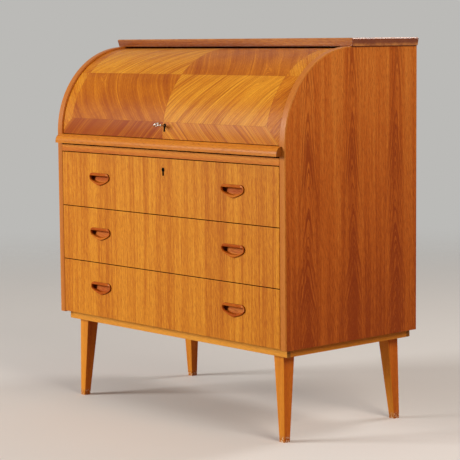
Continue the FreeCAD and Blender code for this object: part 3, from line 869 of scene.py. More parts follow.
@dataclass(frozen=True)
class Wood:
    """A wood finish, from its dark grain to its light ground, and how it is polished."""

    joint_shade_share: ClassVar[float] = 0.4
    bump_strength: ClassVar[float] = 0.25
    bump_height: ClassVar[float] = 0.0002
    foot: ClassVar[Pair] = (6.0, 20.0)
    foot_dark: ClassVar[float] = 0.45
    chip_size: ClassVar[float] = 5.0
    chip_fade: ClassVar[Pair] = (0.53, 0.6)
    chip_colour: ClassVar[Colour] = linear(232, 205, 170)

    name: str
    run: Run
    dark: Colour
    ground: Colour
    light: Colour
    pore: Colour
    rough: float = 0.42
    gloss: float = 0.12
    contrast: float = 0.8
    streaks: float = 0.5
    pores: float = 0.45
    rubbed: float = 0.5
    # colour of rubbed places and of painted highlights; None stands for the light colour
    bare_and_highlight: Optional[Colour] = None
    scuffed: float = 0.0
    ends: float = 0.0

    def make(self) -> bpy.types.Material:
        """Build the material.

        Returns:
            The material, ready to be put on a piece.
        """
        material, wiring, shader = new_material(self.name)
        layout = Layout(wiring, self.ends)
        lay = layout.lay(self.run)
        place = {"x": layout.x, "y": layout.y, "z": layout.z}
        grain = wiring.group(EFFECTS.grain, across=lay.across, along=lay.along, depth=lay.depth)
        tone, streak, pores = (grain.outputs[name] for name in ("Tone", "Streak", "Pores"))
        level = wiring.times_plus(streak, self.streaks, wiring.times(tone, 1.0 - self.streaks))
        level = wiring.times_plus(level, self.contrast, 0.5 - self.contrast / 2.0)
        if lay.shade:
            level = wiring.plus(level, lay.shade)
        colour = wiring.ramp(level, (0.0, self.dark), (0.5, self.ground), (1.0, self.light))
        if lay.lines:
            colour = wiring.mix(lay.lines, colour, self.dark)
        colour = wiring.mix(wiring.times(pores, self.pores), colour, self.pore)
        if lay.mark:
            colour = wiring.mix(lay.mark, colour, self.pore)
        wear = wiring.group(EFFECTS.wear, **place)
        # rubbed arrises are made light, and painted highlights with them
        wear_and_highlight = wiring.times(wear.outputs["Wear and highlight"], self.rubbed)
        colour = wiring.mix(wear_and_highlight, colour, self.bare_and_highlight or self.light)
        # painted shade at joints, gaps and hollows: a dark share of the pore colour
        joint_shade_colour = tuple(value * self.joint_shade_share for value in self.pore)
        colour = wiring.mix(wear.outputs["Painted shade"], colour, joint_shade_colour)
        if self.scuffed:
            low = wiring.rest(wiring.step(layout.z, *self.foot))
            colour = wiring.mix(wiring.times(low, self.foot_dark), colour, self.pore)
            colour = wiring.mix(self.scuff(wiring, layout, low), colour, self.chip_colour)
        wiring.feed(shader.inputs["Base Color"], colour)
        polish = wiring.group(EFFECTS.polish, **place, streak=streak, pores=pores, base=self.rough)
        wiring.feed(shader.inputs["Roughness"], polish.outputs["Roughness"])
        normal = wiring.bump(polish.outputs["Height"], self.bump_strength, self.bump_height)
        wiring.feed(shader.inputs["Normal"], normal)
        shader.inputs["Specular IOR Level"].default_value = self.gloss
        return material

    def scuff(self, wiring: Wiring, layout: Layout, low: bpy.types.NodeSocket) -> bpy.types.NodeSocket:
        """Find the chipped places low on a foot.

        Args:
            wiring: The material's wiring.
            layout: The material's layout.
            low: Mask of the foot.

        Returns:
            The mask.
        """
        spot = wiring.spot((layout.x, layout.y, layout.z), self.chip_size)
        chips = wiring.step(wiring.noise(spot, detail=3.0, roughness=0.65), *self.chip_fade)
        return wiring.times(wiring.times(low, chips), self.scuffed)


@dataclass(frozen=True)
class Metal:
    """A metal finish with brushed tone and tarnish."""

    tarnish_size: ClassVar[float] = 6.0
    tarnish_fade: ClassVar[Pair] = (0.36, 0.7)
    tarnish_rough: ClassVar[float] = 0.22
    brush_across: ClassVar[float] = 9.0
    brush_along: ClassVar[float] = 0.4
    bump_strength: ClassVar[float] = 0.12
    bump_height: ClassVar[float] = 0.0001

    name: str
    bright: Colour
    dull: Colour
    rough: float

    def make(self) -> bpy.types.Material:
        """Build the material.

        Returns:
            The material, ready to be put on a piece.
        """
        material, wiring, shader = new_material(self.name)
        x, y, z = wiring.millimetres()
        spot = wiring.spot((x, y, z), self.tarnish_size)
        tarnish = wiring.step(wiring.noise(spot, detail=4.0, roughness=0.65), *self.tarnish_fade)
        wiring.feed(shader.inputs["Base Color"], wiring.mix(tarnish, self.bright, self.dull))
        wiring.feed(shader.inputs["Roughness"], wiring.times_plus(tarnish, self.tarnish_rough, self.rough))
        drawn = wiring.point(wiring.times(x, self.brush_across), y, wiring.times(z, self.brush_along))
        brushed = wiring.noise(drawn, detail=2.0, roughness=0.5)
        normal = wiring.bump(brushed, self.bump_strength, self.bump_height)
        wiring.feed(shader.inputs["Normal"], normal)
        shader.inputs["Metallic"].default_value = 1.0
        return material


class Finish(Enum):
    """The finishes of the desk."""

    FRONT = Wood(
        "golden teak front", Run.FRONT, linear(185, 103, 18), linear(210, 131, 30), linear(227, 153, 43),
        linear(152, 68, 14), rough=0.45, contrast=1.8, streaks=0.68, pores=0.6,
    )
    RAIL = Wood(
        "teak rail", Run.SIDEWAYS, linear(184, 94, 24), linear(210, 122, 36), linear(226, 144, 50),
        linear(158, 78, 22), rough=0.45, contrast=1.5,
    )
    SIDE = Wood(
        "arched teak side", Run.LEAVES, linear(150, 64, 16), linear(195, 101, 31), linear(219, 133, 52),
        linear(116, 46, 12), rough=0.42, contrast=1.05, streaks=0.66, pores=0.6,
    )
    TOP = Wood(
        "red-brown teak top", Run.TOP_BOARD, linear(116, 54, 20), linear(158, 88, 36), linear(206, 136, 66),
        linear(122, 56, 20), rough=0.25, gloss=0.4, contrast=1.2,
    )
    LID = Wood(
        "matched teak lid", Run.LID, linear(150, 66, 12), linear(202, 120, 26), linear(230, 160, 46),
        linear(128, 58, 12), rough=0.38, gloss=0.08, contrast=0.75, streaks=0.6, pores=0.35,
    )
    EDGE = Wood(
        "teak edge band", Run.BAND, linear(172, 92, 30), linear(197, 119, 45), linear(213, 139, 60),
        linear(146, 72, 22), rough=0.36, gloss=0.14, rubbed=0.9,
    )
    LIP = Wood(
        "teak lip", Run.END_SIDEWAYS, linear(172, 86, 18), linear(198, 114, 28), linear(218, 140, 42),
        linear(104, 46, 16), rough=0.36, contrast=1.2, ends=438.0,
    )
    # the pull's pale rubbed colour is a painted highlight on each pull's right end
    PULL = Wood(
        "red teak pull", Run.SIDEWAYS, linear(144, 54, 10), linear(184, 88, 20), linear(210, 124, 38),
        linear(104, 40, 10), rough=0.5, gloss=0.06, contrast=1.2, rubbed=1.0, bare_and_highlight=linear(244, 190, 138),
    )
    LEG = Wood(
        "stained leg", Run.UPRIGHT, linear(188, 100, 22), linear(219, 137, 39), linear(234, 158, 52),
        linear(150, 72, 18), rough=0.36, pores=0.25, scuffed=0.95,
    )
    # a darker, redder copy of the leg finish for the legs' sides: painted shade
    LEG_SHADED_SIDE = Wood(
        "leg side with painted shade", Run.UPRIGHT, linear(172, 78, 16), linear(206, 109, 27), linear(222, 131, 39),
        linear(132, 58, 16), rough=0.36, pores=0.25, scuffed=0.95,
    )
    BASE = Wood(
        "stained base rail", Run.END_SIDEWAYS, linear(208, 128, 38), linear(236, 162, 58),
        linear(246, 184, 82), linear(90, 42, 16), rough=0.4, pores=0.25, ends=433.0,
    )
    BASE_SIDE = Wood(
        "stained base side", Run.INWARD, linear(198, 116, 32), linear(218, 142, 46), linear(232, 162, 64),
        linear(148, 78, 24), rough=0.4, pores=0.25,
    )
    LEAF = Wood(
        "writing leaf teak", Run.SIDEWAYS, linear(176, 96, 30), linear(200, 122, 42), linear(216, 142, 56),
        linear(148, 74, 24), rough=0.4,
    )
    INSIDE = Wood(
        "pigeonhole teak", Run.SIDEWAYS, linear(172, 98, 36), linear(196, 122, 50), linear(212, 142, 66),
        linear(142, 76, 30), rough=0.5,
    )
    INSIDE_UPRIGHT = Wood(
        "pigeonhole upright", Run.UPRIGHT, linear(172, 98, 36), linear(196, 122, 50), linear(212, 142, 66),
        linear(142, 76, 30), rough=0.5,
    )
    BOX = Wood(
        "plain beech", Run.INWARD, linear(206, 164, 112), linear(224, 186, 136), linear(236, 204, 158),
        linear(180, 132, 84), rough=0.55, pores=0.3,
    )
    BOX_ACROSS = Wood(
        "plain beech across", Run.SIDEWAYS, linear(206, 164, 112), linear(224, 186, 136),
        linear(236, 204, 158), linear(180, 132, 84), rough=0.55, pores=0.3,
    )
    BACK = Wood(
        "thin plywood", Run.UPRIGHT, linear(150, 96, 54), linear(178, 122, 74), linear(198, 146, 96),
        linear(118, 70, 38), rough=0.6, streaks=0.4,
    )
    BRASS = Metal("aged brass", linear(196, 160, 92), linear(128, 96, 50), 0.3)
    # a real liner, coloured near black as painted shade of the keyholes' dark insides
    LINER = Metal("near-black keyhole liner", linear(22, 16, 10), linear(9, 7, 5), 0.6)
    IRON = Metal("dark lock iron", linear(64, 58, 52), linear(28, 25, 22), 0.5)
    STEEL = Metal("nickelled steel", linear(214, 210, 202), linear(150, 146, 140), 0.2)
    SCREW = Metal("dull steel screw", linear(160, 156, 150), linear(96, 92, 86), 0.35)


class Paints:
    """Materials, each made once."""

    def __init__(self) -> None:
        """Start with no material made."""
        self.made: dict[Finish, bpy.types.Material] = {}

    def of(self, finish: Finish) -> bpy.types.Material:
        """Look up a finish's material, and make it the first time.

        Args:
            finish: The finish.

        Returns:
            Its material.
        """
        if finish not in self.made:
            self.made[finish] = finish.value.make()
        return self.made[finish]


PAINTS = Paints()


class Register:
    """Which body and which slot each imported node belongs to, and what stands for it."""

    merge = 1e-6
    flat = math.radians(0.5)
    crease = math.radians(48.0)
    arris_steps = 4
    shaded_facing = 0.95

    def __init__(self) -> None:
        """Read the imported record."""
        record = frame["record"]
        self.slots = {row["node"]: row["material_slot"] for row in record["subparts"]}
        self.bodies = {node: body for body, nodes in record["behaviour"]["bodies"].items() for node in nodes}

    def paint(self, node: str, finish: Finish) -> None:
        """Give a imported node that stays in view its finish.

        Args:
            node: The node.
            finish: Its finish.
        """
        for slot in frame["nodes"][node].material_slots:
            slot.material = PAINTS.of(finish)
        log.info("%s: packed solid in %s", node, finish.value.name)

    def add(
        self, piece: bpy.types.Object, finish: Optional[Finish], node: str, stands_for: bool = True,
    ) -> bpy.types.Object:
        """Put a finished piece on its body.

        Args:
            piece: The piece, in place.
            finish: Its finish, or None where its mesh carries one.
            node: The node whose body it takes.
            stands_for: Whether the node is hidden behind the piece.

        Returns:
            The piece.
        """
        if finish:
            piece.data.materials.clear()
            piece.data.materials.append(PAINTS.of(finish))
        if stands_for:
            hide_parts(node)
        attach(piece, self.bodies[node])
        log.info("%s: %d faces on %s", piece.name, len(piece.data.polygons), self.bodies[node])
        return piece

    def new_piece(
        self, name: str, shape: bmesh.types.BMesh, crease: Optional[float] = None,
    ) -> bpy.types.Object:
        """Turn a shape into an object with smooth shading between its creases.

        Args:
            name: Name of the piece.
            shape: The shape, which is freed.
            crease: Angle from which an edge stays sharp.

        Returns:
            The object, at the origin.
        """
        mesh = bpy.data.meshes.new(name)
        shape.to_mesh(mesh)
        shape.free()
        mesh.shade_smooth()
        mesh.set_sharp_from_angle(angle=self.crease if crease is None else crease)
        piece = bpy.data.objects.new(name, mesh)
        bpy.context.scene.collection.objects.link(piece)
        weighted = piece.modifiers.new("weighted", "WEIGHTED_NORMAL")
        weighted.keep_sharp = True
        evaluated = piece.evaluated_get(bpy.context.evaluated_depsgraph_get())
        finished = bpy.data.meshes.new_from_object(evaluated)
        piece.modifiers.remove(weighted)
        piece.data = finished
        bpy.data.meshes.remove(mesh)
        finished.name = name
        return piece

    def shape_of(self, node: str) -> bmesh.types.BMesh:
        """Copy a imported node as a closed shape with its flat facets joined.

        Args:
            node: The node.

        Returns:
            The shape.
        """
        shape = bmesh.new()
        shape.from_mesh(frame["nodes"][node].data)
        bmesh.ops.remove_doubles(shape, verts=shape.verts[:], dist=self.merge)
        bmesh.ops.dissolve_limit(shape, angle_limit=self.flat, verts=shape.verts[:], edges=shape.edges[:])
        return shape

    def eased(
        self, node: str, finish: Finish, reach: float, arrises: Optional[EdgeChoice] = None,
        joints: Sequence[Vector] = (),
    ) -> bpy.types.Object:
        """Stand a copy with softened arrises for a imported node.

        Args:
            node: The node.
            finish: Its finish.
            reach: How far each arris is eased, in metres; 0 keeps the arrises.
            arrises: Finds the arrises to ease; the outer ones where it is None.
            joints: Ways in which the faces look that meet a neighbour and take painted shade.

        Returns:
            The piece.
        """
        shape = self.shape_of(node)
        wear_and_highlight = shape.faces.layers.float.new("wear_and_highlight")
        joint = shape.faces.layers.float.new("joint")
        for face in shape.faces:
            face.normal_update()
            # painted shade on faces that look into a gap towards a neighbour
            face[joint] = float(any(face.normal.dot(way) > self.shaded_facing for way in joints))
        if reach > 0.0:
            made = bmesh.ops.bevel(
                shape, geom=(arrises or outer_arrises)(shape), offset=reach, offset_type="OFFSET",
                segments=self.arris_steps, profile=0.5, affect="EDGES", clamp_overlap=True,
            )
            for face in made["faces"]:
                face[wear_and_highlight] = 1.0
                face[joint] = 0.0
        return self.add(self.new_piece(f"{node}_eased", shape), finish, node)


def islands(shape: bmesh.types.BMesh) -> list[set[bmesh.types.BMVert]]:
    """Split a shape into its separate solids.

    Args:
        shape: The shape.

    Returns:
        The corners of each solid.
    """
    left = set(shape.verts)
    found = []
    while left:
        queue = [left.pop()]
        island = set(queue)
        while queue:
            corner = queue.pop()
            near = {edge.other_vert(corner) for edge in corner.link_edges} - island
            island |= near
            queue.extend(near)
        left -= island
        found.append(island)
    return found


def lies_on(edge: bmesh.types.BMEdge, axis: int, place: float) -> bool:
    """Tell whether both corners of an edge lie at a place along an axis."""
    return all(abs(corner.co[axis] - place) < NEAR for corner in edge.verts)


def outer_arrises(shape: bmesh.types.BMesh) -> list[bmesh.types.BMEdge]:
    """Find the edges that lie on the box edges of the solid they belong to.

    Args:
        shape: The shape.

    Returns:
        The edges.
    """
    chosen = []
    for island in islands(shape):
        low = [min(corner.co[axis] for corner in island) for axis in range(3)]
        high = [max(corner.co[axis] for corner in island) for axis in range(3)]
        edges = {edge for corner in island for edge in corner.link_edges}
        for edge in edges:
            on_face = [lies_on(edge, axis, low[axis]) or lies_on(edge, axis, high[axis]) for axis in range(3)]
            if sum(on_face) == 2:
                chosen.append(edge)
    return sorted(chosen, key=lambda edge: edge.index)


def band_arrises(shape: bmesh.types.BMesh) -> list[bmesh.types.BMEdge]:
    """Find the long arris between an edge band's front and the desk's outer side.

    Args:
        shape: The shape.

    Returns:
        The edges.
    """
    sharp = math.radians(60.0)
    inside_band = (BAND_RADIUS - 1.0) / METRE
    outer = max(abs(corner.co.x) for corner in shape.verts)
    chosen = []
    for edge in shape.edges:
        on_side = all(abs(abs(corner.co.x) - outer) < NEAR for corner in edge.verts)
        middle = (edge.verts[0].co + edge.verts[1].co) / 2.0
        reach = math.hypot(middle.y - AXIS_Y / METRE, middle.z - AXIS_Z / METRE)
        on_front = abs(middle.y - FRONT_Y / METRE) < NEAR
        on_curve = middle.z > AXIS_Z / METRE and reach > inside_band
        if on_side and (on_front or on_curve) and edge.calc_face_angle(0.0) > sharp:
            chosen.append(edge)
    return chosen


REGISTER = Register()


@dataclass
class Carcass:
    """Side panels with their edge bands, top, back, rails and the boards inside."""

    arris: float = 0.0007
    board_arris: float = 0.0005
    back_in: float = 0.0006
    top_arris: float = 0.0014
    top_undercut: float = 0.2
    top_edge: float = 0.003
    top_crease: float = math.radians(20.0)
    # upward share of the normal on the planed arris
    planed: Pair = (0.3, 0.9)
    band_arris: float = 0.0011
    rail_low: float = 0.0014
    rail_top: float = 0.002
    # how far from the outermost corner a corner still lies on the same face
    level: float = 0.0001

    def build(self) -> None:
        """Ease and dress the boards."""
        for side in ("left", "right"):
            REGISTER.eased(f"{side}_side_panel", Finish.SIDE, 0.0)
            REGISTER.eased(f"{side}_edge_band", Finish.EDGE, self.band_arris, band_arrises)
        self.top()
        self.rail()
        self.back()
        for node in ("bottom_panel", "desk_deck"):
            REGISTER.paint(node, Finish.BOX_ACROSS)
        for node in ("leaf_runners", "drawer_slides"):
            REGISTER.eased(node, Finish.BOX, self.board_arris)

    def top(self) -> None:
        """Plane the top board's upper arris to a wider chamfer and dress the board."""
        shape = REGISTER.shape_of("top_panel")
        wear_and_highlight = shape.faces.layers.float.new("wear_and_highlight")
        high = max(corner.co.z for corner in shape.verts)
        middle = sum(corner.co.y for corner in shape.verts) / len(shape.verts)
        for corner in shape.verts:
            x_inward = math.copysign(self.top_arris, -corner.co.x)
            y_inward = math.copysign(self.top_arris, middle - corner.co.y)
            inward = Vector((x_inward, y_inward, 0.0))
            if corner.co.z > high - self.level:
                corner.co += inward
            elif corner.co.z > high - self.top_edge:
                corner.co += inward * self.top_undercut + DOWN * self.top_arris
        # the planed arris is marked for wear and highlight: made lighter as a rubbed arris and as a painted
        # highlight
        for face in shape.faces:
            face.normal_update()
            face[wear_and_highlight] = float(self.planed[0] < face.normal.z < self.planed[1])
        piece = REGISTER.new_piece("top_panel_planed", shape, self.top_crease)
        REGISTER.add(piece, Finish.TOP, "top_panel")

    def rail(self) -> None:
        """Plane the front rail's top a little, so that the leaf's shadow line shows above it."""
        # painted shade on the rail's top and bottom faces, in the gaps above and below it
        piece = REGISTER.eased("front_rail", Finish.RAIL, self.arris, joints=(UP, DOWN))
        high = max(corner.co.z for corner in piece.data.vertices)
        for corner in piece.data.vertices:
            if corner.co.z > high - self.rail_top:
                corner.co.z -= self.rail_low

    def back(self) -> None:
        """Set the back's outer face in by the height of the pins' heads."""
        shape = REGISTER.shape_of("back_panel")
        rear = max(corner.co.y for corner in shape.verts)
        for corner in shape.verts:
            if corner.co.y > rear - self.level:
                corner.co.y -= self.back_in
        REGISTER.add(REGISTER.new_piece("back_panel_eased", shape), Finish.BACK, "back_panel")


@dataclass
class Stand:
    """Low frame and its four splayed legs."""

    arris: float = 0.001
    sideways: float = 0.7

    def build(self) -> None:
        """Ease and dress rails and legs; the legs' sides take a darker, redder copy of the leg finish as
        painted shade.
        """
        for end in ("front", "rear"):
            REGISTER.eased(f"base_{end}_rail", Finish.BASE, self.arris)
            for side in ("left", "right"):
                leg = REGISTER.eased(f"leg_{end}_{side}", Finish.LEG, 0.0).data
                leg.materials.append(PAINTS.of(Finish.LEG_SHADED_SIDE))
                for face in leg.polygons:
                    face.material_index = int(abs(face.normal.x) > self.sideways)
        for side in ("left", "right"):
            REGISTER.eased(f"base_{side}_rail", Finish.BASE_SIDE, self.arris)


@dataclass
class RollTop:
    """Curved lid with its batten, lock, liner and key."""

    arris: float = 0.0006
    bow: float = 0.0084
    bow_share: float = 0.8
    bow_steps: int = 40
    bow_turn: float = math.radians(28.0)
    wire: float = 0.0018
    wire_steps: int = 12
    stem: float = 0.0021
    stem_end: float = 0.0012
    stem_round: float = 0.0006
    stem_steps: int = 20
    neck: float = 0.0014
    bit_size: tuple[float, float, float] = (0.0072, 0.0022, 0.0046)
    bit_at: tuple[float, float, float] = (-0.0038, 0.0, 0.1958)
    key_angle: float = math.radians(8.0)
    axis: Vector = field(default_factory=lambda: Vector((0.0, AXIS_Y / METRE, AXIS_Z / METRE)))
    bow_at: float = 0.252
    collar_at: float = 0.2405
    collar_long: float = 0.0024
    # place along the key from the collar's middle, and the radius there
    collar: tuple[Pair, ...] = ((-0.0018, 0.0033), (-0.0006, 0.0037), (0.0006, 0.0033), (0.0014, 0.0019))
    stem_from: float = 0.1925

    def build(self) -> None:
        """Dress the lid and make the key."""
        REGISTER.eased("lid_shell", Finish.LID, 0.0)
        REGISTER.eased("lid_batten", Finish.BOX_ACROSS, 0.0)
        REGISTER.eased("lid_keyhole_liner", Finish.LINER, 0.0)
        REGISTER.eased("lid_lock_case", Finish.IRON, self.arris)
        REGISTER.eased("lid_bolt", Finish.STEEL, self.arris)
        # a near-black rim round the keyhole's mouth, which widens its painted shade
        rim = REGISTER.new_piece("lid_keyhole_rim", Keyhole().rim(self.on_lid))
        REGISTER.add(rim, Finish.LINER, "lid_keyhole_liner", stands_for=False)
        self.key()

    def on_lid(self, sideways: float, upward: float, outward: float) -> Vector:
        """Find a place on the lid about the keyhole's head.

        Args:
            sideways: Measure to the right.
            upward: Measure round the lid.
            outward: Measure off the lid.

        Returns:
            The place.
        """
        angle = self.key_angle + upward * METRE / LID_RADIUS
        reach = LID_RADIUS / METRE + outward
        return self.axis + Vector((sideways, -reach * math.cos(angle), reach * math.sin(angle)))

    def key(self) -> None:
        """Turn the key: a stem with a collar, a bow of round wire and a flat bit."""
        shape = bmesh.new()
        rings = [
            (self.stem_from, self.stem_end),
            (self.stem_from + self.stem_round, self.stem),
            (self.collar_at - self.collar_long, self.stem),
            *((self.collar_at + shift, radius) for shift, radius in self.collar),
            (self.bow_at - self.bow, self.neck),
        ]
        turned(shape, [(radius, along) for along, radius in rings], self.stem_steps)
        knot = bmesh.new()
        wire_ring(knot, self.bow, self.bow * self.bow_share, self.wire, self.bow_steps, self.wire_steps)
        upright = Matrix.Rotation(self.bow_turn, 4, "Z") @ Matrix.Rotation(QUARTER, 4, "X")
        lift = Matrix.Translation((0.0, 0.0, self.bow_at)) @ upright
        bmesh.ops.transform(knot, matrix=lift, verts=knot.verts[:])
        part = bpy.data.meshes.new("bow")
        knot.to_mesh(part)
        knot.free()
        shape.from_mesh(part)
        bpy.data.meshes.remove(part)
        bit = bmesh.ops.create_cube(shape, size=1.0)["verts"]
        size = Matrix.Diagonal((*self.bit_size, 1.0))
        bmesh.ops.transform(shape, matrix=Matrix.Translation(self.bit_at) @ size, verts=bit)
        aim = Matrix.Translation(self.axis) @ Matrix.Rotation(QUARTER - self.key_angle, 4, "X")
        bmesh.ops.transform(shape, matrix=aim, verts=shape.verts[:])
        bmesh.ops.recalc_face_normals(shape, faces=shape.faces[:])
        REGISTER.add(REGISTER.new_piece("lid_key_turned", shape), Finish.STEEL, "lid_key")


def turned(shape: bmesh.types.BMesh, profile: Sequence[Pair], count: int) -> None:
    """Turn a profile about the Z axis and close its two ends.

    Args:
        shape: Shape that takes the faces.
        profile: Radii and heights, from one end to the other.
        count: Corners round the axis.
    """
    loops = []
    for radius, height in profile:
        angles = [math.tau * number / count for number in range(count)]
        loops.append([shape.verts.new((radius * math.cos(a), radius * math.sin(a), height)) for a in angles])
    skin(shape, loops)
    shape.faces.new(list(reversed(loops[0])))
    shape.faces.new(loops[-1])


def skin(shape: bmesh.types.BMesh, loops: Sequence[Sequence[bmesh.types.BMVert]]) -> None:
    """Join closed loops of equal counts by quads.

    Args:
        shape: Shape that takes the faces.
        loops: Loops in order.
    """
    for low, high in zip(loops, loops[1:]):
        for number in range(len(low)):
            after = (number + 1) % len(low)
            shape.faces.new((low[number], low[after], high[after], high[number]))


@dataclass(frozen=True)
class Keyhole:
    """Outline of a keyhole: a round head with a slot below it."""

    head: float = 0.0029
    slot: float = 0.0017
    drop: float = 0.0135
    steps: int = 20
    head_grow: float = 1.8
    # how far the rim lies outside the hole, and how far off the surface
    section: tuple[Pair, ...] = (
        (0.0, -0.0006), (0.0, 0.0002), (0.0005, 0.0004),
        (0.0012, 0.0004), (0.0017, 0.0002), (0.0017, -0.0006),
    )

    def outline(self, grow: float) -> list[Pair]:
        """Draw the outline about the head's middle.

        Args:
            grow: How far it lies outside the hole.

        Returns:
            Points sideways and upwards.
        """
        head, slot, low = self.head + self.head_grow * grow, self.slot + grow, -self.drop - grow
        start = math.asin(slot / head) - math.pi / 2.0
        sweep = math.tau - 2.0 * math.asin(slot / head)
        round_head = [start + sweep * number / self.steps for number in range(self.steps + 1)]
        return [(-slot, low), (slot, low), *((head * math.cos(a), head * math.sin(a)) for a in round_head)]

    def rim(self, seat: Callable[[float, float, float], Vector]) -> bmesh.types.BMesh:
        """Roll a thin rim round the hole's mouth.

        Args:
            seat: Gives the place of a point from its sideways, upward and outward measures.

        Returns:
            The shape.
        """
        shape = bmesh.new()
        loops = []
        for grow, out in self.section:
            loops.append([shape.verts.new(seat(a, b, out)) for a, b in self.outline(grow)])
        skin(shape, [*loops, loops[0]])
        bmesh.ops.recalc_face_normals(shape, faces=shape.faces[:])
        return shape


def wire_ring(
    shape: bmesh.types.BMesh, wide: float, tall: float, wire: float, count: int, round_count: int,
) -> None:
    """Bend round wire into an oval ring in the XY plane.

    Args:
        shape: Shape that takes the faces.
        wide: Half width at the wire's middle.
        tall: Half height at the wire's middle.
        wire: Radius of the wire.
        count: Steps round the ring.
        round_count: Corners round the wire.
    """
    loops = []
    for number in range(count):
        turn = math.tau * number / count
        middle = Vector((wide * math.cos(turn), tall * math.sin(turn), 0.0))
        out = Vector((math.cos(turn) / wide, math.sin(turn) / tall, 0.0)).normalized()
        loop = []
        for corner in range(round_count):
            angle = math.tau * corner / round_count
            aside = math.cos(angle) * out + Vector((0.0, 0.0, math.sin(angle)))
            loop.append(shape.verts.new(middle + wire * aside))
        loops.append(loop)
    skin(shape, [*loops, loops[0]])


@dataclass
class WritingLeaf:
    """Pull-out leaf with its lip, strike plate and stops."""

    arris: float = 0.0006
    strike_arris: float = 0.0002

    def build(self) -> None:
        """Ease and dress the leaf."""
        REGISTER.eased("leaf_board", Finish.LEAF, self.arris)
        # painted shadow on the lip's underside
        REGISTER.eased("leaf_lip", Finish.LIP, 0.0, joints=(DOWN,))
        REGISTER.eased("leaf_strike", Finish.BRASS, self.strike_arris)
        REGISTER.eased("leaf_stops", Finish.BOX_ACROSS, self.arris)


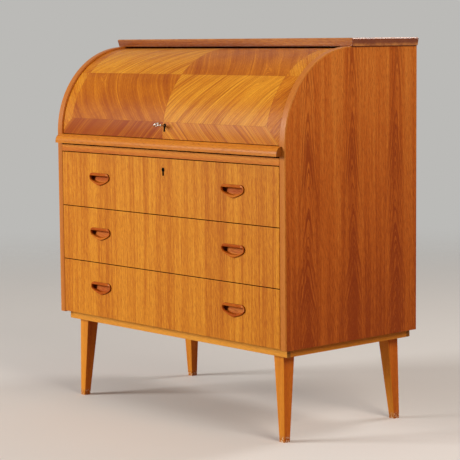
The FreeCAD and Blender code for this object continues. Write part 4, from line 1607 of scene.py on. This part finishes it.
@dataclass
class Pull:
    """Scooped pull: a proud shield with a rounded rim, a hollow and a bar over the fingers."""

    half: float = 0.031
    end: float = 0.011
    tip: float = 0.0223
    lean: float = math.radians(10.0)
    seat_x: float = 0.265
    face: float = FRONT_Y / METRE
    rise: float = 0.42
    rise_from: float = 0.002
    rise_over: float = 0.018
    crest: float = 0.0015
    brink: float = 0.0178
    brink_bow: float = 0.006
    top_steps: int = 22
    end_steps: int = 18
    side_steps: int = 16
    # painted shade in the hollow: its least depth, the height of the roof, and how near an end the wall is
    inside: float = 0.001
    roof: float = 0.0022
    roof_shade: float = 0.7
    wall: float = 0.0005
    wall_shade: float = 0.85
    # painted highlight on the right end's inner slope: from which height, and between which insets
    highlight_low: float = -0.005
    highlight_inset: Pair = (0.0014, 0.0034)
    # inset from the outline, height of the bar's lower edge or None, and how far it stands proud
    rim: tuple[Ring, ...] = (
        (0.0, None, 0.0), (0.0, None, 0.0024), (0.0002, None, 0.0030), (0.0007, None, 0.0034),
        (0.0012, None, 0.0036), (0.0018, 0.0054, 0.0036), (0.0024, 0.0044, 0.0032), (0.0029, 0.0036, 0.0022),
        (0.0032, 0.0033, 0.0010),
    )
    # the same for the hollow, where proud is below zero
    hollow: tuple[Ring, ...] = (
        (0.0033, 0.0032, -0.0004), (0.0033, 0.0034, -0.0014), (0.0033, 0.0046, -0.0022),
        (0.0033, None, -0.0036), (0.0033, None, -0.0082), (0.0035, None, -0.0100), (0.0040, None, -0.0107),
        (0.0050, None, -0.0109), (0.0075, None, -0.0109), (0.0100, None, -0.0109),
    )

    def outline(self, inset: float, low: Optional[float]) -> list[Pair]:
        """Draw the shield, inwards by an inset: a straight top, round ends and two bowed sides to the tip.

        Past the rim's crest the outline leaves the tip out and runs over it in a flat bow.

        Args:
            inset: Distance inside the outer outline.
            low: Height that the outline is held below, or None.

        Returns:
            Points from the top's left end, clockwise as seen from the front.
        """
        small = self.end - inset
        span = self.half ** 2 + self.tip ** 2 - self.end ** 2
        bow = span / (2.0 * (self.tip * math.cos(self.lean) - self.half * math.sin(self.lean) - self.end))
        bow_x, bow_z = -bow * math.sin(self.lean), bow * math.cos(self.lean) - self.tip
        meet = math.atan2(-bow_z, self.half - bow_x)
        drop = math.sqrt((bow - inset) ** 2 - bow_x ** 2) - bow_z
        tip_angle = math.atan2(-drop - bow_z, -bow_x)
        points = [(self.half * (2.0 * n / self.top_steps - 1.0), small) for n in range(self.top_steps)]
        for n in range(self.end_steps):
            angle = math.pi / 2.0 + (meet - math.pi / 2.0) * n / self.end_steps
            points.append((self.half + small * math.cos(angle), small * math.sin(angle)))
        for n in range(self.side_steps):
            angle = meet + (tip_angle - meet) * n / self.side_steps
            points.append((bow_x + (bow - inset) * math.cos(angle), bow_z + (bow - inset) * math.sin(angle)))
        mirrored = [(-x, z) for x, z in reversed(points[self.top_steps + 1:])]
        points = [*points, (0.0, -drop), *mirrored]
        if inset > self.crest:
            brink = inset - self.brink
            points = [(x, max(z, brink + self.brink_bow * (x / self.half) ** 2)) for x, z in points]
        return points if low is None else [(x, min(z, low)) for x, z in points]

    def depth(self, proud: float, height: float) -> float:
        """Level the hollow: deepest under the bar, with a floor that rises towards the shield's tip.

        Args:
            proud: How far the hollow stands proud under the bar.
            height: Height above the rounded ends' middle.

        Returns:
            How far the hollow stands proud.
        """
        share = min(1.0, max(0.0, (self.rise_from - height) / self.rise_over))
        return proud * (1.0 - self.rise * share)

    def is_highlit(self, x: float, z: float) -> bool:
        """Tell whether a point of the rim lies under the painted highlight, on the inner slope of its right
        end.

        Args:
            x: Distance from the pull's middle.
            z: Height above the rounded ends' middle.

        Returns:
            True on that slope.
        """
        near, far = self.highlight_inset
        reach = math.hypot(x - self.half, z)
        return x > self.half and z > self.highlight_low and self.end - far < reach < self.end - near

    def add(self, shape: bmesh.types.BMesh, x: float, z: float) -> None:
        """Carve one pull.

        Args:
            shape: Shape that takes the faces.
            x: Middle of the pull.
            z: Level of its rounded ends' middle.
        """
        loops = []
        for inset, low, proud in self.rim:
            ring = self.outline(inset, low)
            loops.append([shape.verts.new((x + a, self.face - proud, z + b)) for a, b in ring])
        for inset, low, proud in self.hollow:
            ring = self.outline(inset, low)
            scoop = [self.depth(proud, b) for _, b in ring]
            loops.append([shape.verts.new((x + a, self.face - s, z + b)) for (a, b), s in zip(ring, scoop)])
        joint = shape.faces.layers.float.get("joint") or shape.faces.layers.float.new("joint")
        wear_and_highlight = shape.faces.layers.float.get("wear_and_highlight") or shape.faces.layers.float.new("wear_and_highlight")
        # painted shadow on the rim's outer wall
        skin(shape, loops[:2])
        for face in shape.faces[-len(loops[0]):]:
            face[joint] = 1.0
        skin(shape, loops[1:])
        shape.faces.new(loops[-1])
        # painted shade under the bar and on the hollow's end walls, and a painted highlight on the right
        # end's inner slope
        for face in shape.faces:
            middle = face.calc_center_median()
            within = middle.y > self.face + self.inside
            if within and middle.z > z + self.roof:
                face[joint] = self.roof_shade
            elif within and abs(abs(middle.x) - self.seat_x) > self.half - self.wall:
                face[joint] = self.wall_shade
            elif middle.y < self.face and self.is_highlit(middle.x - x, middle.z - z):
                face[wear_and_highlight] = 1.0


@dataclass
class Drawers:
    """Three wide drawers with scooped pulls; the upper one locks."""

    arris: float = 0.0007
    box_arris: float = 0.001
    pull: Pull = field(default_factory=Pull)
    key_z: float = 0.6464
    pull_z: dict[str, float] = field(
        default_factory=lambda: {"lower": 0.319, "middle": 0.466, "upper": 0.613},
    )

    def build(self) -> None:
        """Ease and dress fronts and boxes, and carve the pulls."""
        for name, z in self.pull_z.items():
            # painted shade on the fronts' top, bottom and left faces, in the gaps between the drawers
            REGISTER.eased(f"drawer_{name}_front", Finish.FRONT, self.arris, joints=(UP, DOWN, LEFT))
            for side in ("left", "right"):
                REGISTER.eased(f"drawer_{name}_{side}_side", Finish.BOX, self.box_arris)
            REGISTER.eased(f"drawer_{name}_back", Finish.BOX_ACROSS, self.box_arris)
            REGISTER.paint(f"drawer_{name}_tray", Finish.BOX_ACROSS)
            shape = bmesh.new()
            for sign in (-1.0, 1.0):
                self.pull.add(shape, sign * self.pull.seat_x, z)
            bmesh.ops.recalc_face_normals(shape, faces=shape.faces[:])
            carved = REGISTER.new_piece(f"drawer_{name}_pulls_carved", shape)
            REGISTER.add(carved, Finish.PULL, f"drawer_{name}_pulls")
        REGISTER.eased("drawer_upper_keyhole_liner", Finish.LINER, 0.0)
        REGISTER.eased("drawer_upper_lock", Finish.IRON, self.arris)
        # a near-black rim round the keyhole's mouth, which widens its painted shade
        face = Vector((0.0, FRONT_Y / METRE, self.key_z))
        shape = Keyhole().rim(lambda sideways, upward, outward: face + Vector((sideways, -outward, upward)))
        rim = REGISTER.new_piece("drawer_keyhole_rim", shape)
        REGISTER.add(rim, Finish.LINER, "drawer_upper_keyhole_liner", stands_for=False)


@dataclass
class Pigeonholes:
    """Row of pigeonholes with two small drawers."""

    arris: float = 0.0005
    # radius of a knob, and the height above its seat
    knob: tuple[Pair, ...] = (
        (0.0034, 0.0), (0.0034, 0.0042), (0.0040, 0.0056), (0.0056, 0.0068), (0.0072, 0.0078),
        (0.0080, 0.0091), (0.0078, 0.0104), (0.0066, 0.0114), (0.0044, 0.0119), (0.0016, 0.012),
    )
    knob_steps: int = 32

    def build(self) -> None:
        """Ease and dress the boards and turn the knobs."""
        for part in ("floor", "top", "back", "shelves"):
            REGISTER.eased(f"unit_{part}", Finish.INSIDE, self.arris)
        REGISTER.eased("unit_uprights", Finish.INSIDE_UPRIGHT, self.arris)
        for side in ("left", "right"):
            REGISTER.eased(f"small_{side}_front", Finish.INSIDE, self.arris)
            REGISTER.eased(f"small_{side}_box", Finish.BOX, self.arris)
            low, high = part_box(f"small_{side}_knob")
            shape = bmesh.new()
            turned(shape, self.knob, self.knob_steps)
            seat = Matrix.Translation(((low[0] + high[0]) / 2.0, high[1], (low[2] + high[2]) / 2.0))
            aim = seat @ Matrix.Rotation(QUARTER, 4, "X")
            bmesh.ops.transform(shape, matrix=aim, verts=shape.verts[:])
            bmesh.ops.recalc_face_normals(shape, faces=shape.faces[:])
            knob = REGISTER.new_piece(f"small_{side}_knob_turned", shape)
            REGISTER.add(knob, Finish.PULL, f"small_{side}_knob")


class Heads:
    """Geometry Nodes trees for the heads of screws and panel pins."""

    seed = 7
    screw_steps = 20
    screw_top = 0.72
    slot_long = 3.0
    pin_steps = 12
    pin_rings = 6

    @staticmethod
    def start(name: str, numbers: Iterable[str]) -> bpy.types.NodeTree:
        """Start a tree with a mesh, sizes and a finish as its inputs.

        Args:
            name: Name of the tree.
            numbers: Names of its sizes.

        Returns:
            The tree.
        """
        tree = bpy.data.node_groups.new(name, "GeometryNodeTree")
        tree.interface.new_socket("Geometry", in_out="INPUT", socket_type="NodeSocketGeometry")
        for label in numbers:
            tree.interface.new_socket(label, in_out="INPUT", socket_type="NodeSocketFloat")
        tree.interface.new_socket("Finish", in_out="INPUT", socket_type="NodeSocketMaterial")
        tree.interface.new_socket("Geometry", in_out="OUTPUT", socket_type="NodeSocketGeometry")
        return tree

    def close(self, wiring: Wiring, given: bpy.types.Node, spots: Feed, head: Feed, turn: Feed) -> None:
        """Set a head on each spot, and make the result one mesh with its finish.

        Args:
            wiring: The tree's wiring.
            given: The tree's input node.
            spots: Points that take a head.
            head: The head, looking along Z.
            turn: Rotation of each head.
        """
        placed = wiring.node("GeometryNodeInstanceOnPoints")
        wiring.feed(placed.inputs["Points"], spots)
        wiring.feed(placed.inputs["Instance"], head)
        wiring.feed(placed.inputs["Rotation"], turn)
        real = wiring.node("GeometryNodeRealizeInstances")
        wiring.feed(real.inputs[0], placed.outputs[0])
        finish = wiring.node("GeometryNodeSetMaterial")
        wiring.feed(finish.inputs["Geometry"], real.outputs[0])
        wiring.feed(finish.inputs["Material"], given.outputs["Finish"])
        end = wiring.node("NodeGroupOutput")
        wiring.feed(end.inputs[0], finish.outputs[0])

    @cached_property
    def screws(self) -> bpy.types.NodeTree:
        """Slotted screw heads on points that carry the way they face.

        Returns:
            The tree.
        """
        sizes = ("Head radius", "Head height", "Slot width")
        wiring = Wiring(self.start("Slotted screws", sizes))
        given = wiring.node("NodeGroupInput")
        radius, height, slot = (given.outputs[label] for label in sizes)
        cone = wiring.node("GeometryNodeMeshCone")
        cone.inputs["Vertices"].default_value = self.screw_steps
        wiring.feed(cone.inputs["Radius Bottom"], radius)
        wiring.feed(cone.inputs["Radius Top"], wiring.times(radius, self.screw_top))
        wiring.feed(cone.inputs["Depth"], height)
        groove = wiring.node("GeometryNodeMeshCube")
        wide = wiring.times(radius, self.slot_long)
        wiring.feed(groove.inputs["Size"], wiring.point(wide, slot, height))
        raised = wiring.node("GeometryNodeTransform")
        wiring.feed(raised.inputs["Geometry"], groove.outputs["Mesh"])
        wiring.feed(raised.inputs["Translation"], wiring.point(0.0, 0.0, height))
        head = wiring.node("GeometryNodeMeshBoolean", operation="DIFFERENCE")
        wiring.feed(head.inputs["Mesh 1"], cone.outputs["Mesh"])
        wiring.feed(head.inputs[1], raised.outputs[0])
        spin = wiring.node("FunctionNodeRandomValue", data_type="FLOAT")
        spin.inputs[3].default_value = math.pi
        spin.inputs["Seed"].default_value = self.seed
        turn = wiring.node("FunctionNodeEulerToRotation")
        wiring.feed(turn.inputs[0], wiring.point(0.0, 0.0, spin.outputs[1]))
        facing = wiring.node("GeometryNodeInputNamedAttribute", data_type="FLOAT_VECTOR")
        facing.inputs["Name"].default_value = "facing"
        aim = wiring.node("FunctionNodeAlignRotationToVector", axis="Z")
        wiring.feed(aim.inputs["Rotation"], turn.outputs[0])
        wiring.feed(aim.inputs["Vector"], facing.outputs[0])
        self.close(wiring, given, given.outputs["Geometry"], head.outputs[0], aim.outputs[0])
        return wiring.tree

    @cached_property
    def pins(self) -> bpy.types.NodeTree:
        """Round pin heads at even steps along lines in an upright plane, facing the rear.

        Returns:
            The tree.
        """
        wiring = Wiring(self.start("Panel pins", ("Spacing", "Head radius", "Head height")))
        given = wiring.node("NodeGroupInput")
        line = wiring.node("GeometryNodeMeshToCurve")
        wiring.feed(line.inputs[0], given.outputs["Geometry"])
        even = wiring.node("GeometryNodeCurveToPoints", mode="LENGTH")
        wiring.feed(even.inputs["Curve"], line.outputs[0])
        wiring.feed(even.inputs["Length"], given.outputs["Spacing"])
        dome = wiring.node("GeometryNodeMeshUVSphere")
        dome.inputs["Segments"].default_value = self.pin_steps
        dome.inputs["Rings"].default_value = self.pin_rings
        wiring.feed(dome.inputs["Radius"], given.outputs["Head radius"])
        flat = wiring.node("GeometryNodeTransform")
        wiring.feed(flat.inputs["Geometry"], dome.outputs["Mesh"])
        share = wiring.over(given.outputs["Head height"], given.outputs["Head radius"])
        wiring.feed(flat.inputs["Scale"], wiring.point(1.0, share, 1.0))
        self.close(wiring, given, even.outputs["Points"], flat.outputs[0], (0.0, 0.0, 0.0))
        return wiring.tree

    def run(self, tree: bpy.types.NodeTree, piece: bpy.types.Object, **values: object) -> bpy.types.Object:
        """Run a tree on an object and keep the result as its plain mesh.

        Args:
            tree: The tree.
            piece: Object that carries the points or lines.
            **values: Inputs by name, with underscores for spaces.

        Returns:
            The object, with its finished mesh.
        """
        modifier = piece.modifiers.new("heads", "NODES")
        modifier.node_group = tree
        names = {row.name: row.identifier for row in tree.interface.items_tree if row.in_out == "INPUT"}
        for label, value in values.items():
            modifier[names[label.replace("_", " ").capitalize()]] = value
        bpy.context.scene.collection.objects.link(piece)
        evaluated = piece.evaluated_get(bpy.context.evaluated_depsgraph_get())
        mesh = bpy.data.meshes.new_from_object(evaluated)
        piece.modifiers.remove(modifier)
        piece.data = mesh
        return piece


@dataclass
class Fastenings:
    """Screws of the locks, the strike plate and the stand, and the pins of the back."""

    heads: Heads = field(default_factory=Heads)
    screw: float = 0.0022
    screw_high: float = 0.0009
    screw_inset: float = 0.005
    slot_share: float = 0.32
    strike_screw: float = 0.0016
    strike_screw_high: float = 0.0003
    wood_screw: float = 0.004
    wood_screw_high: float = 0.0014
    wood_screw_shares: tuple[float, ...] = (0.25, 0.5, 0.75)
    pin: float = 0.0017
    pin_high: float = 0.0005
    pin_step: float = 0.098
    pin_inset: float = 0.0045
    # times the inset at the bottom and top edges
    pin_edge: float = 1.8
    pin_plane: float = 0.2424

    def build(self) -> None:
        """Drive all the screws and pins."""
        self.lock_screws()
        self.strike_screws()
        self.stand_screws()
        self.back_pins()

    def drive(
        self, name: str, node: str, spots: Sequence[Vector], way: Vector, radius: float, height: float,
    ) -> None:
        """Drive screws that all face one way.

        Args:
            name: Name of the piece.
            node: Node that the screws sit on.
            spots: Where the heads sit.
            way: The way that the heads face.
            radius: Radius of a head.
            height: Height of a head.
        """
        mesh = bpy.data.meshes.new(name)
        mesh.from_pydata([tuple(spot) for spot in spots], [], [])
        facing = mesh.attributes.new("facing", "FLOAT_VECTOR", "POINT")
        for row in facing.data:
            row.vector = way
        piece = bpy.data.objects.new(name, mesh)
        self.heads.run(
            self.heads.screws, piece, head_radius=radius, head_height=height,
            slot_width=radius * self.slot_share, finish=PAINTS.of(Finish.SCREW),
        )
        REGISTER.add(piece, None, node, stands_for=False)

    def lock_screws(self) -> None:
        """Four screws in each lock case."""
        for name, node in (("lid_lock_screws", "lid_lock_case"), ("drawer_lock_screws", "drawer_upper_lock")):
            low, high = (Vector(corner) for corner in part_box(node))
            across = (low.x + self.screw_inset, high.x - self.screw_inset)
            upward = (low.z + self.screw_inset, high.z - self.screw_inset)
            spots = [Vector((x, high.y, z)) for x in across for z in upward]
            self.drive(name, node, spots, REAR, self.screw, self.screw_high)

    def strike_screws(self) -> None:
        """Two screws in the strike plate."""
        low, high = (Vector(corner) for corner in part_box("leaf_strike"))
        middle = (low.y + high.y) / 2.0
        across = (low.x + self.screw_inset, high.x - self.screw_inset)
        spots = [Vector((x, middle, high.z)) for x in across]
        self.drive("strike_screws", "leaf_strike", spots, UP, self.strike_screw, self.strike_screw_high)

    def stand_screws(self) -> None:
        """Screws up through the stand's side rails."""
        spots = []
        for side in ("left", "right"):
            low, high = (Vector(corner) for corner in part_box(f"base_{side}_rail"))
            middle = (low.x + high.x) / 2.0
            long = high.y - low.y
            spots += [Vector((middle, low.y + long * share, low.z)) for share in self.wood_screw_shares]
        self.drive("stand_screws", "base_left_rail", spots, DOWN, self.wood_screw, self.wood_screw_high)

    def back_pins(self) -> None:
        """Pins round the back panel, in its rebates and along its bottom and top edges."""
        low, high = (Vector(corner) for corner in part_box("back_panel"))
        left, right = low.x + self.pin_inset, high.x - self.pin_inset
        bottom, top = low.z + self.pin_inset * self.pin_edge, high.z - self.pin_inset * self.pin_edge
        corners = [(left, bottom), (right, bottom), (right, top), (left, top)]
        mesh = bpy.data.meshes.new("back_pins")
        mesh.from_pydata([(x, self.pin_plane, z) for x, z in corners], [(0, 1), (1, 2), (2, 3), (3, 0)], [])
        piece = bpy.data.objects.new("back_pins", mesh)
        self.heads.run(
            self.heads.pins, piece, spacing=self.pin_step, head_radius=self.pin, head_height=self.pin_high,
            finish=PAINTS.of(Finish.SCREW),
        )
        REGISTER.add(piece, None, "back_panel", stands_for=False)


@dataclass
class Studio:
    """Pale floor, soft lights and the camera."""

    floor_reach: float = 9.0
    fade_from: float = 1.5
    fade_to: float = 4.6
    floor_steps: int = 96
    floor_rough: float = 0.75
    floor_shades: Pair = (0.97, 1.03)
    floor: Colour = field(default_factory=lambda: linear(230, 229, 227))
    backdrop: Colour = field(default_factory=lambda: linear(187, 186, 183))
    thrown_back: Colour = (0.31, 0.225, 0.165)
    sky: float = 0.2
    sky_colour: Colour = (1.0, 0.82, 0.70)
    lamps_aim: Vector = field(default_factory=lambda: Vector((0.0, 0.0, 0.5)))
    camera_at: Vector = field(default_factory=lambda: Vector((3.43127, -3.05936, 0.9823)))
    yaw: float = 0.841
    pitch: float = 0.110
    roll: float = -0.009
    focal_pixels: float = 1749.916
    image: float = 460.0
    sensor: float = 36.0
    sight: float = 100.0

    def build(self) -> None:
        """Set up floor, world, lamps and camera."""
        self.lay_floor()
        self.light_world()
        self.lamp("key_lamp", Vector((-3.4, -4.9, 2.26)), size=2.14, power=342.0, colour=(1.0, 0.98, 0.94))
        self.lamp("fill_lamp", Vector((3.2, -0.6, 2.5)), size=1.6, power=67.0, colour=(1.0, 0.87, 0.76))
        self.lamp("top_lamp", Vector((0.96, 2.8, 3.45)), size=1.2, power=46.0, colour=(1.0, 0.96, 0.92))
        self.stand_camera()
        bpy.context.scene.view_settings.view_transform = "Standard"

    def lay_floor(self) -> None:
        """A wide floor that fades into the background."""
        shape = bmesh.new()
        bmesh.ops.create_circle(shape, cap_ends=True, radius=self.floor_reach, segments=self.floor_steps)
        mesh = bpy.data.meshes.new("studio_floor")
        shape.to_mesh(mesh)
        shape.free()
        floor = bpy.data.objects.new("studio_floor", mesh)
        bpy.context.scene.collection.objects.link(floor)
        material, wiring, shader = new_material("pale floor")
        shader.inputs["Roughness"].default_value = self.floor_rough
        place = wiring.node("ShaderNodeTexCoord").outputs["Object"]
        cloudy = wiring.noise(place, detail=3.0, roughness=0.5)
        shades = [tuple(value * share for value in self.floor) for share in self.floor_shades]
        colour = wiring.mix(wiring.seen(), self.thrown_back, wiring.mix(cloudy, *shades))
        wiring.feed(shader.inputs["Base Color"], colour)
        distance = wiring.node("ShaderNodeVectorMath", operation="LENGTH")
        wiring.feed(distance.inputs[0], place)
        clear = wiring.step(distance.outputs["Value"], self.fade_from, self.fade_to)
        gone = wiring.node("ShaderNodeBsdfTransparent")
        faded = wiring.blend(clear, shader.outputs[0], gone.outputs[0])
        wiring.feed(material.node_tree.nodes["Material Output"].inputs["Surface"], faded)
        mesh.materials.append(material)

    def light_world(self) -> None:
        """Even light all round, with the backdrop's colour where it is seen or mirrored."""
        world = bpy.data.worlds.new("studio")
        bpy.context.scene.world = world
        world.use_nodes = True
        wiring = Wiring(world.node_tree)
        shown = world.node_tree.nodes["Background"]
        shown.inputs["Color"].default_value = (*self.backdrop, 1.0)
        even = wiring.node("ShaderNodeBackground")
        even.inputs["Color"].default_value = (*self.sky_colour, 1.0)
        even.inputs["Strength"].default_value = self.sky
        mixed = wiring.blend(wiring.seen(), even.outputs[0], shown.outputs[0])
        wiring.feed(world.node_tree.nodes["World Output"].inputs["Surface"], mixed)

    def lamp(self, name: str, place: Vector, size: float, power: float, colour: Colour) -> None:
        """Hang a soft square lamp that looks at the desk's middle.

        Args:
            name: Name of the lamp.
            place: Where it hangs.
            size: Length of its side.
            power: Power in watts.
            colour: Colour of its light.
        """
        data = bpy.data.lights.new(name, "AREA")
        data.size = size
        data.energy = power
        data.color = colour
        made = bpy.data.objects.new(name, data)
        made.location = place
        made.rotation_euler = (self.lamps_aim - place).to_track_quat("-Z", "Y").to_euler()
        bpy.context.scene.collection.objects.link(made)

    def stand_camera(self) -> None:
        """Put the camera where the photograph was taken from."""
        level = Vector((math.cos(self.yaw), math.sin(self.yaw), 0.0))
        ahead = Vector((
            -math.sin(self.yaw) * math.cos(self.pitch),
            math.cos(self.yaw) * math.cos(self.pitch),
            -math.sin(self.pitch),
        ))
        upward = level.cross(ahead)
        right = math.cos(self.roll) * level + math.sin(self.roll) * upward
        above = -math.sin(self.roll) * level + math.cos(self.roll) * upward
        data = bpy.data.cameras.new("camera")
        data.sensor_fit = "HORIZONTAL"
        data.sensor_width = self.sensor
        data.lens = self.focal_pixels * self.sensor / self.image
        data.clip_end = self.sight
        camera = bpy.data.objects.new("camera", data)
        turn = Matrix((right, above, -ahead)).transposed().to_4x4()
        camera.matrix_world = Matrix.Translation(self.camera_at) @ turn
        bpy.context.scene.collection.objects.link(camera)
        bpy.context.scene.camera = camera


def main() -> None:
    """Build the desk's parts in order, then the studio."""
    logging.basicConfig(level=logging.INFO, format="%(name)s: %(message)s")
    parts = (Carcass(), Stand(), WritingLeaf(), RollTop(), Drawers(), Pigeonholes(), Fastenings(), Studio())
    for part in parts:
        part.build()
        log.info("%s is done", type(part).__name__)


if __name__ == "__main__":
    main()
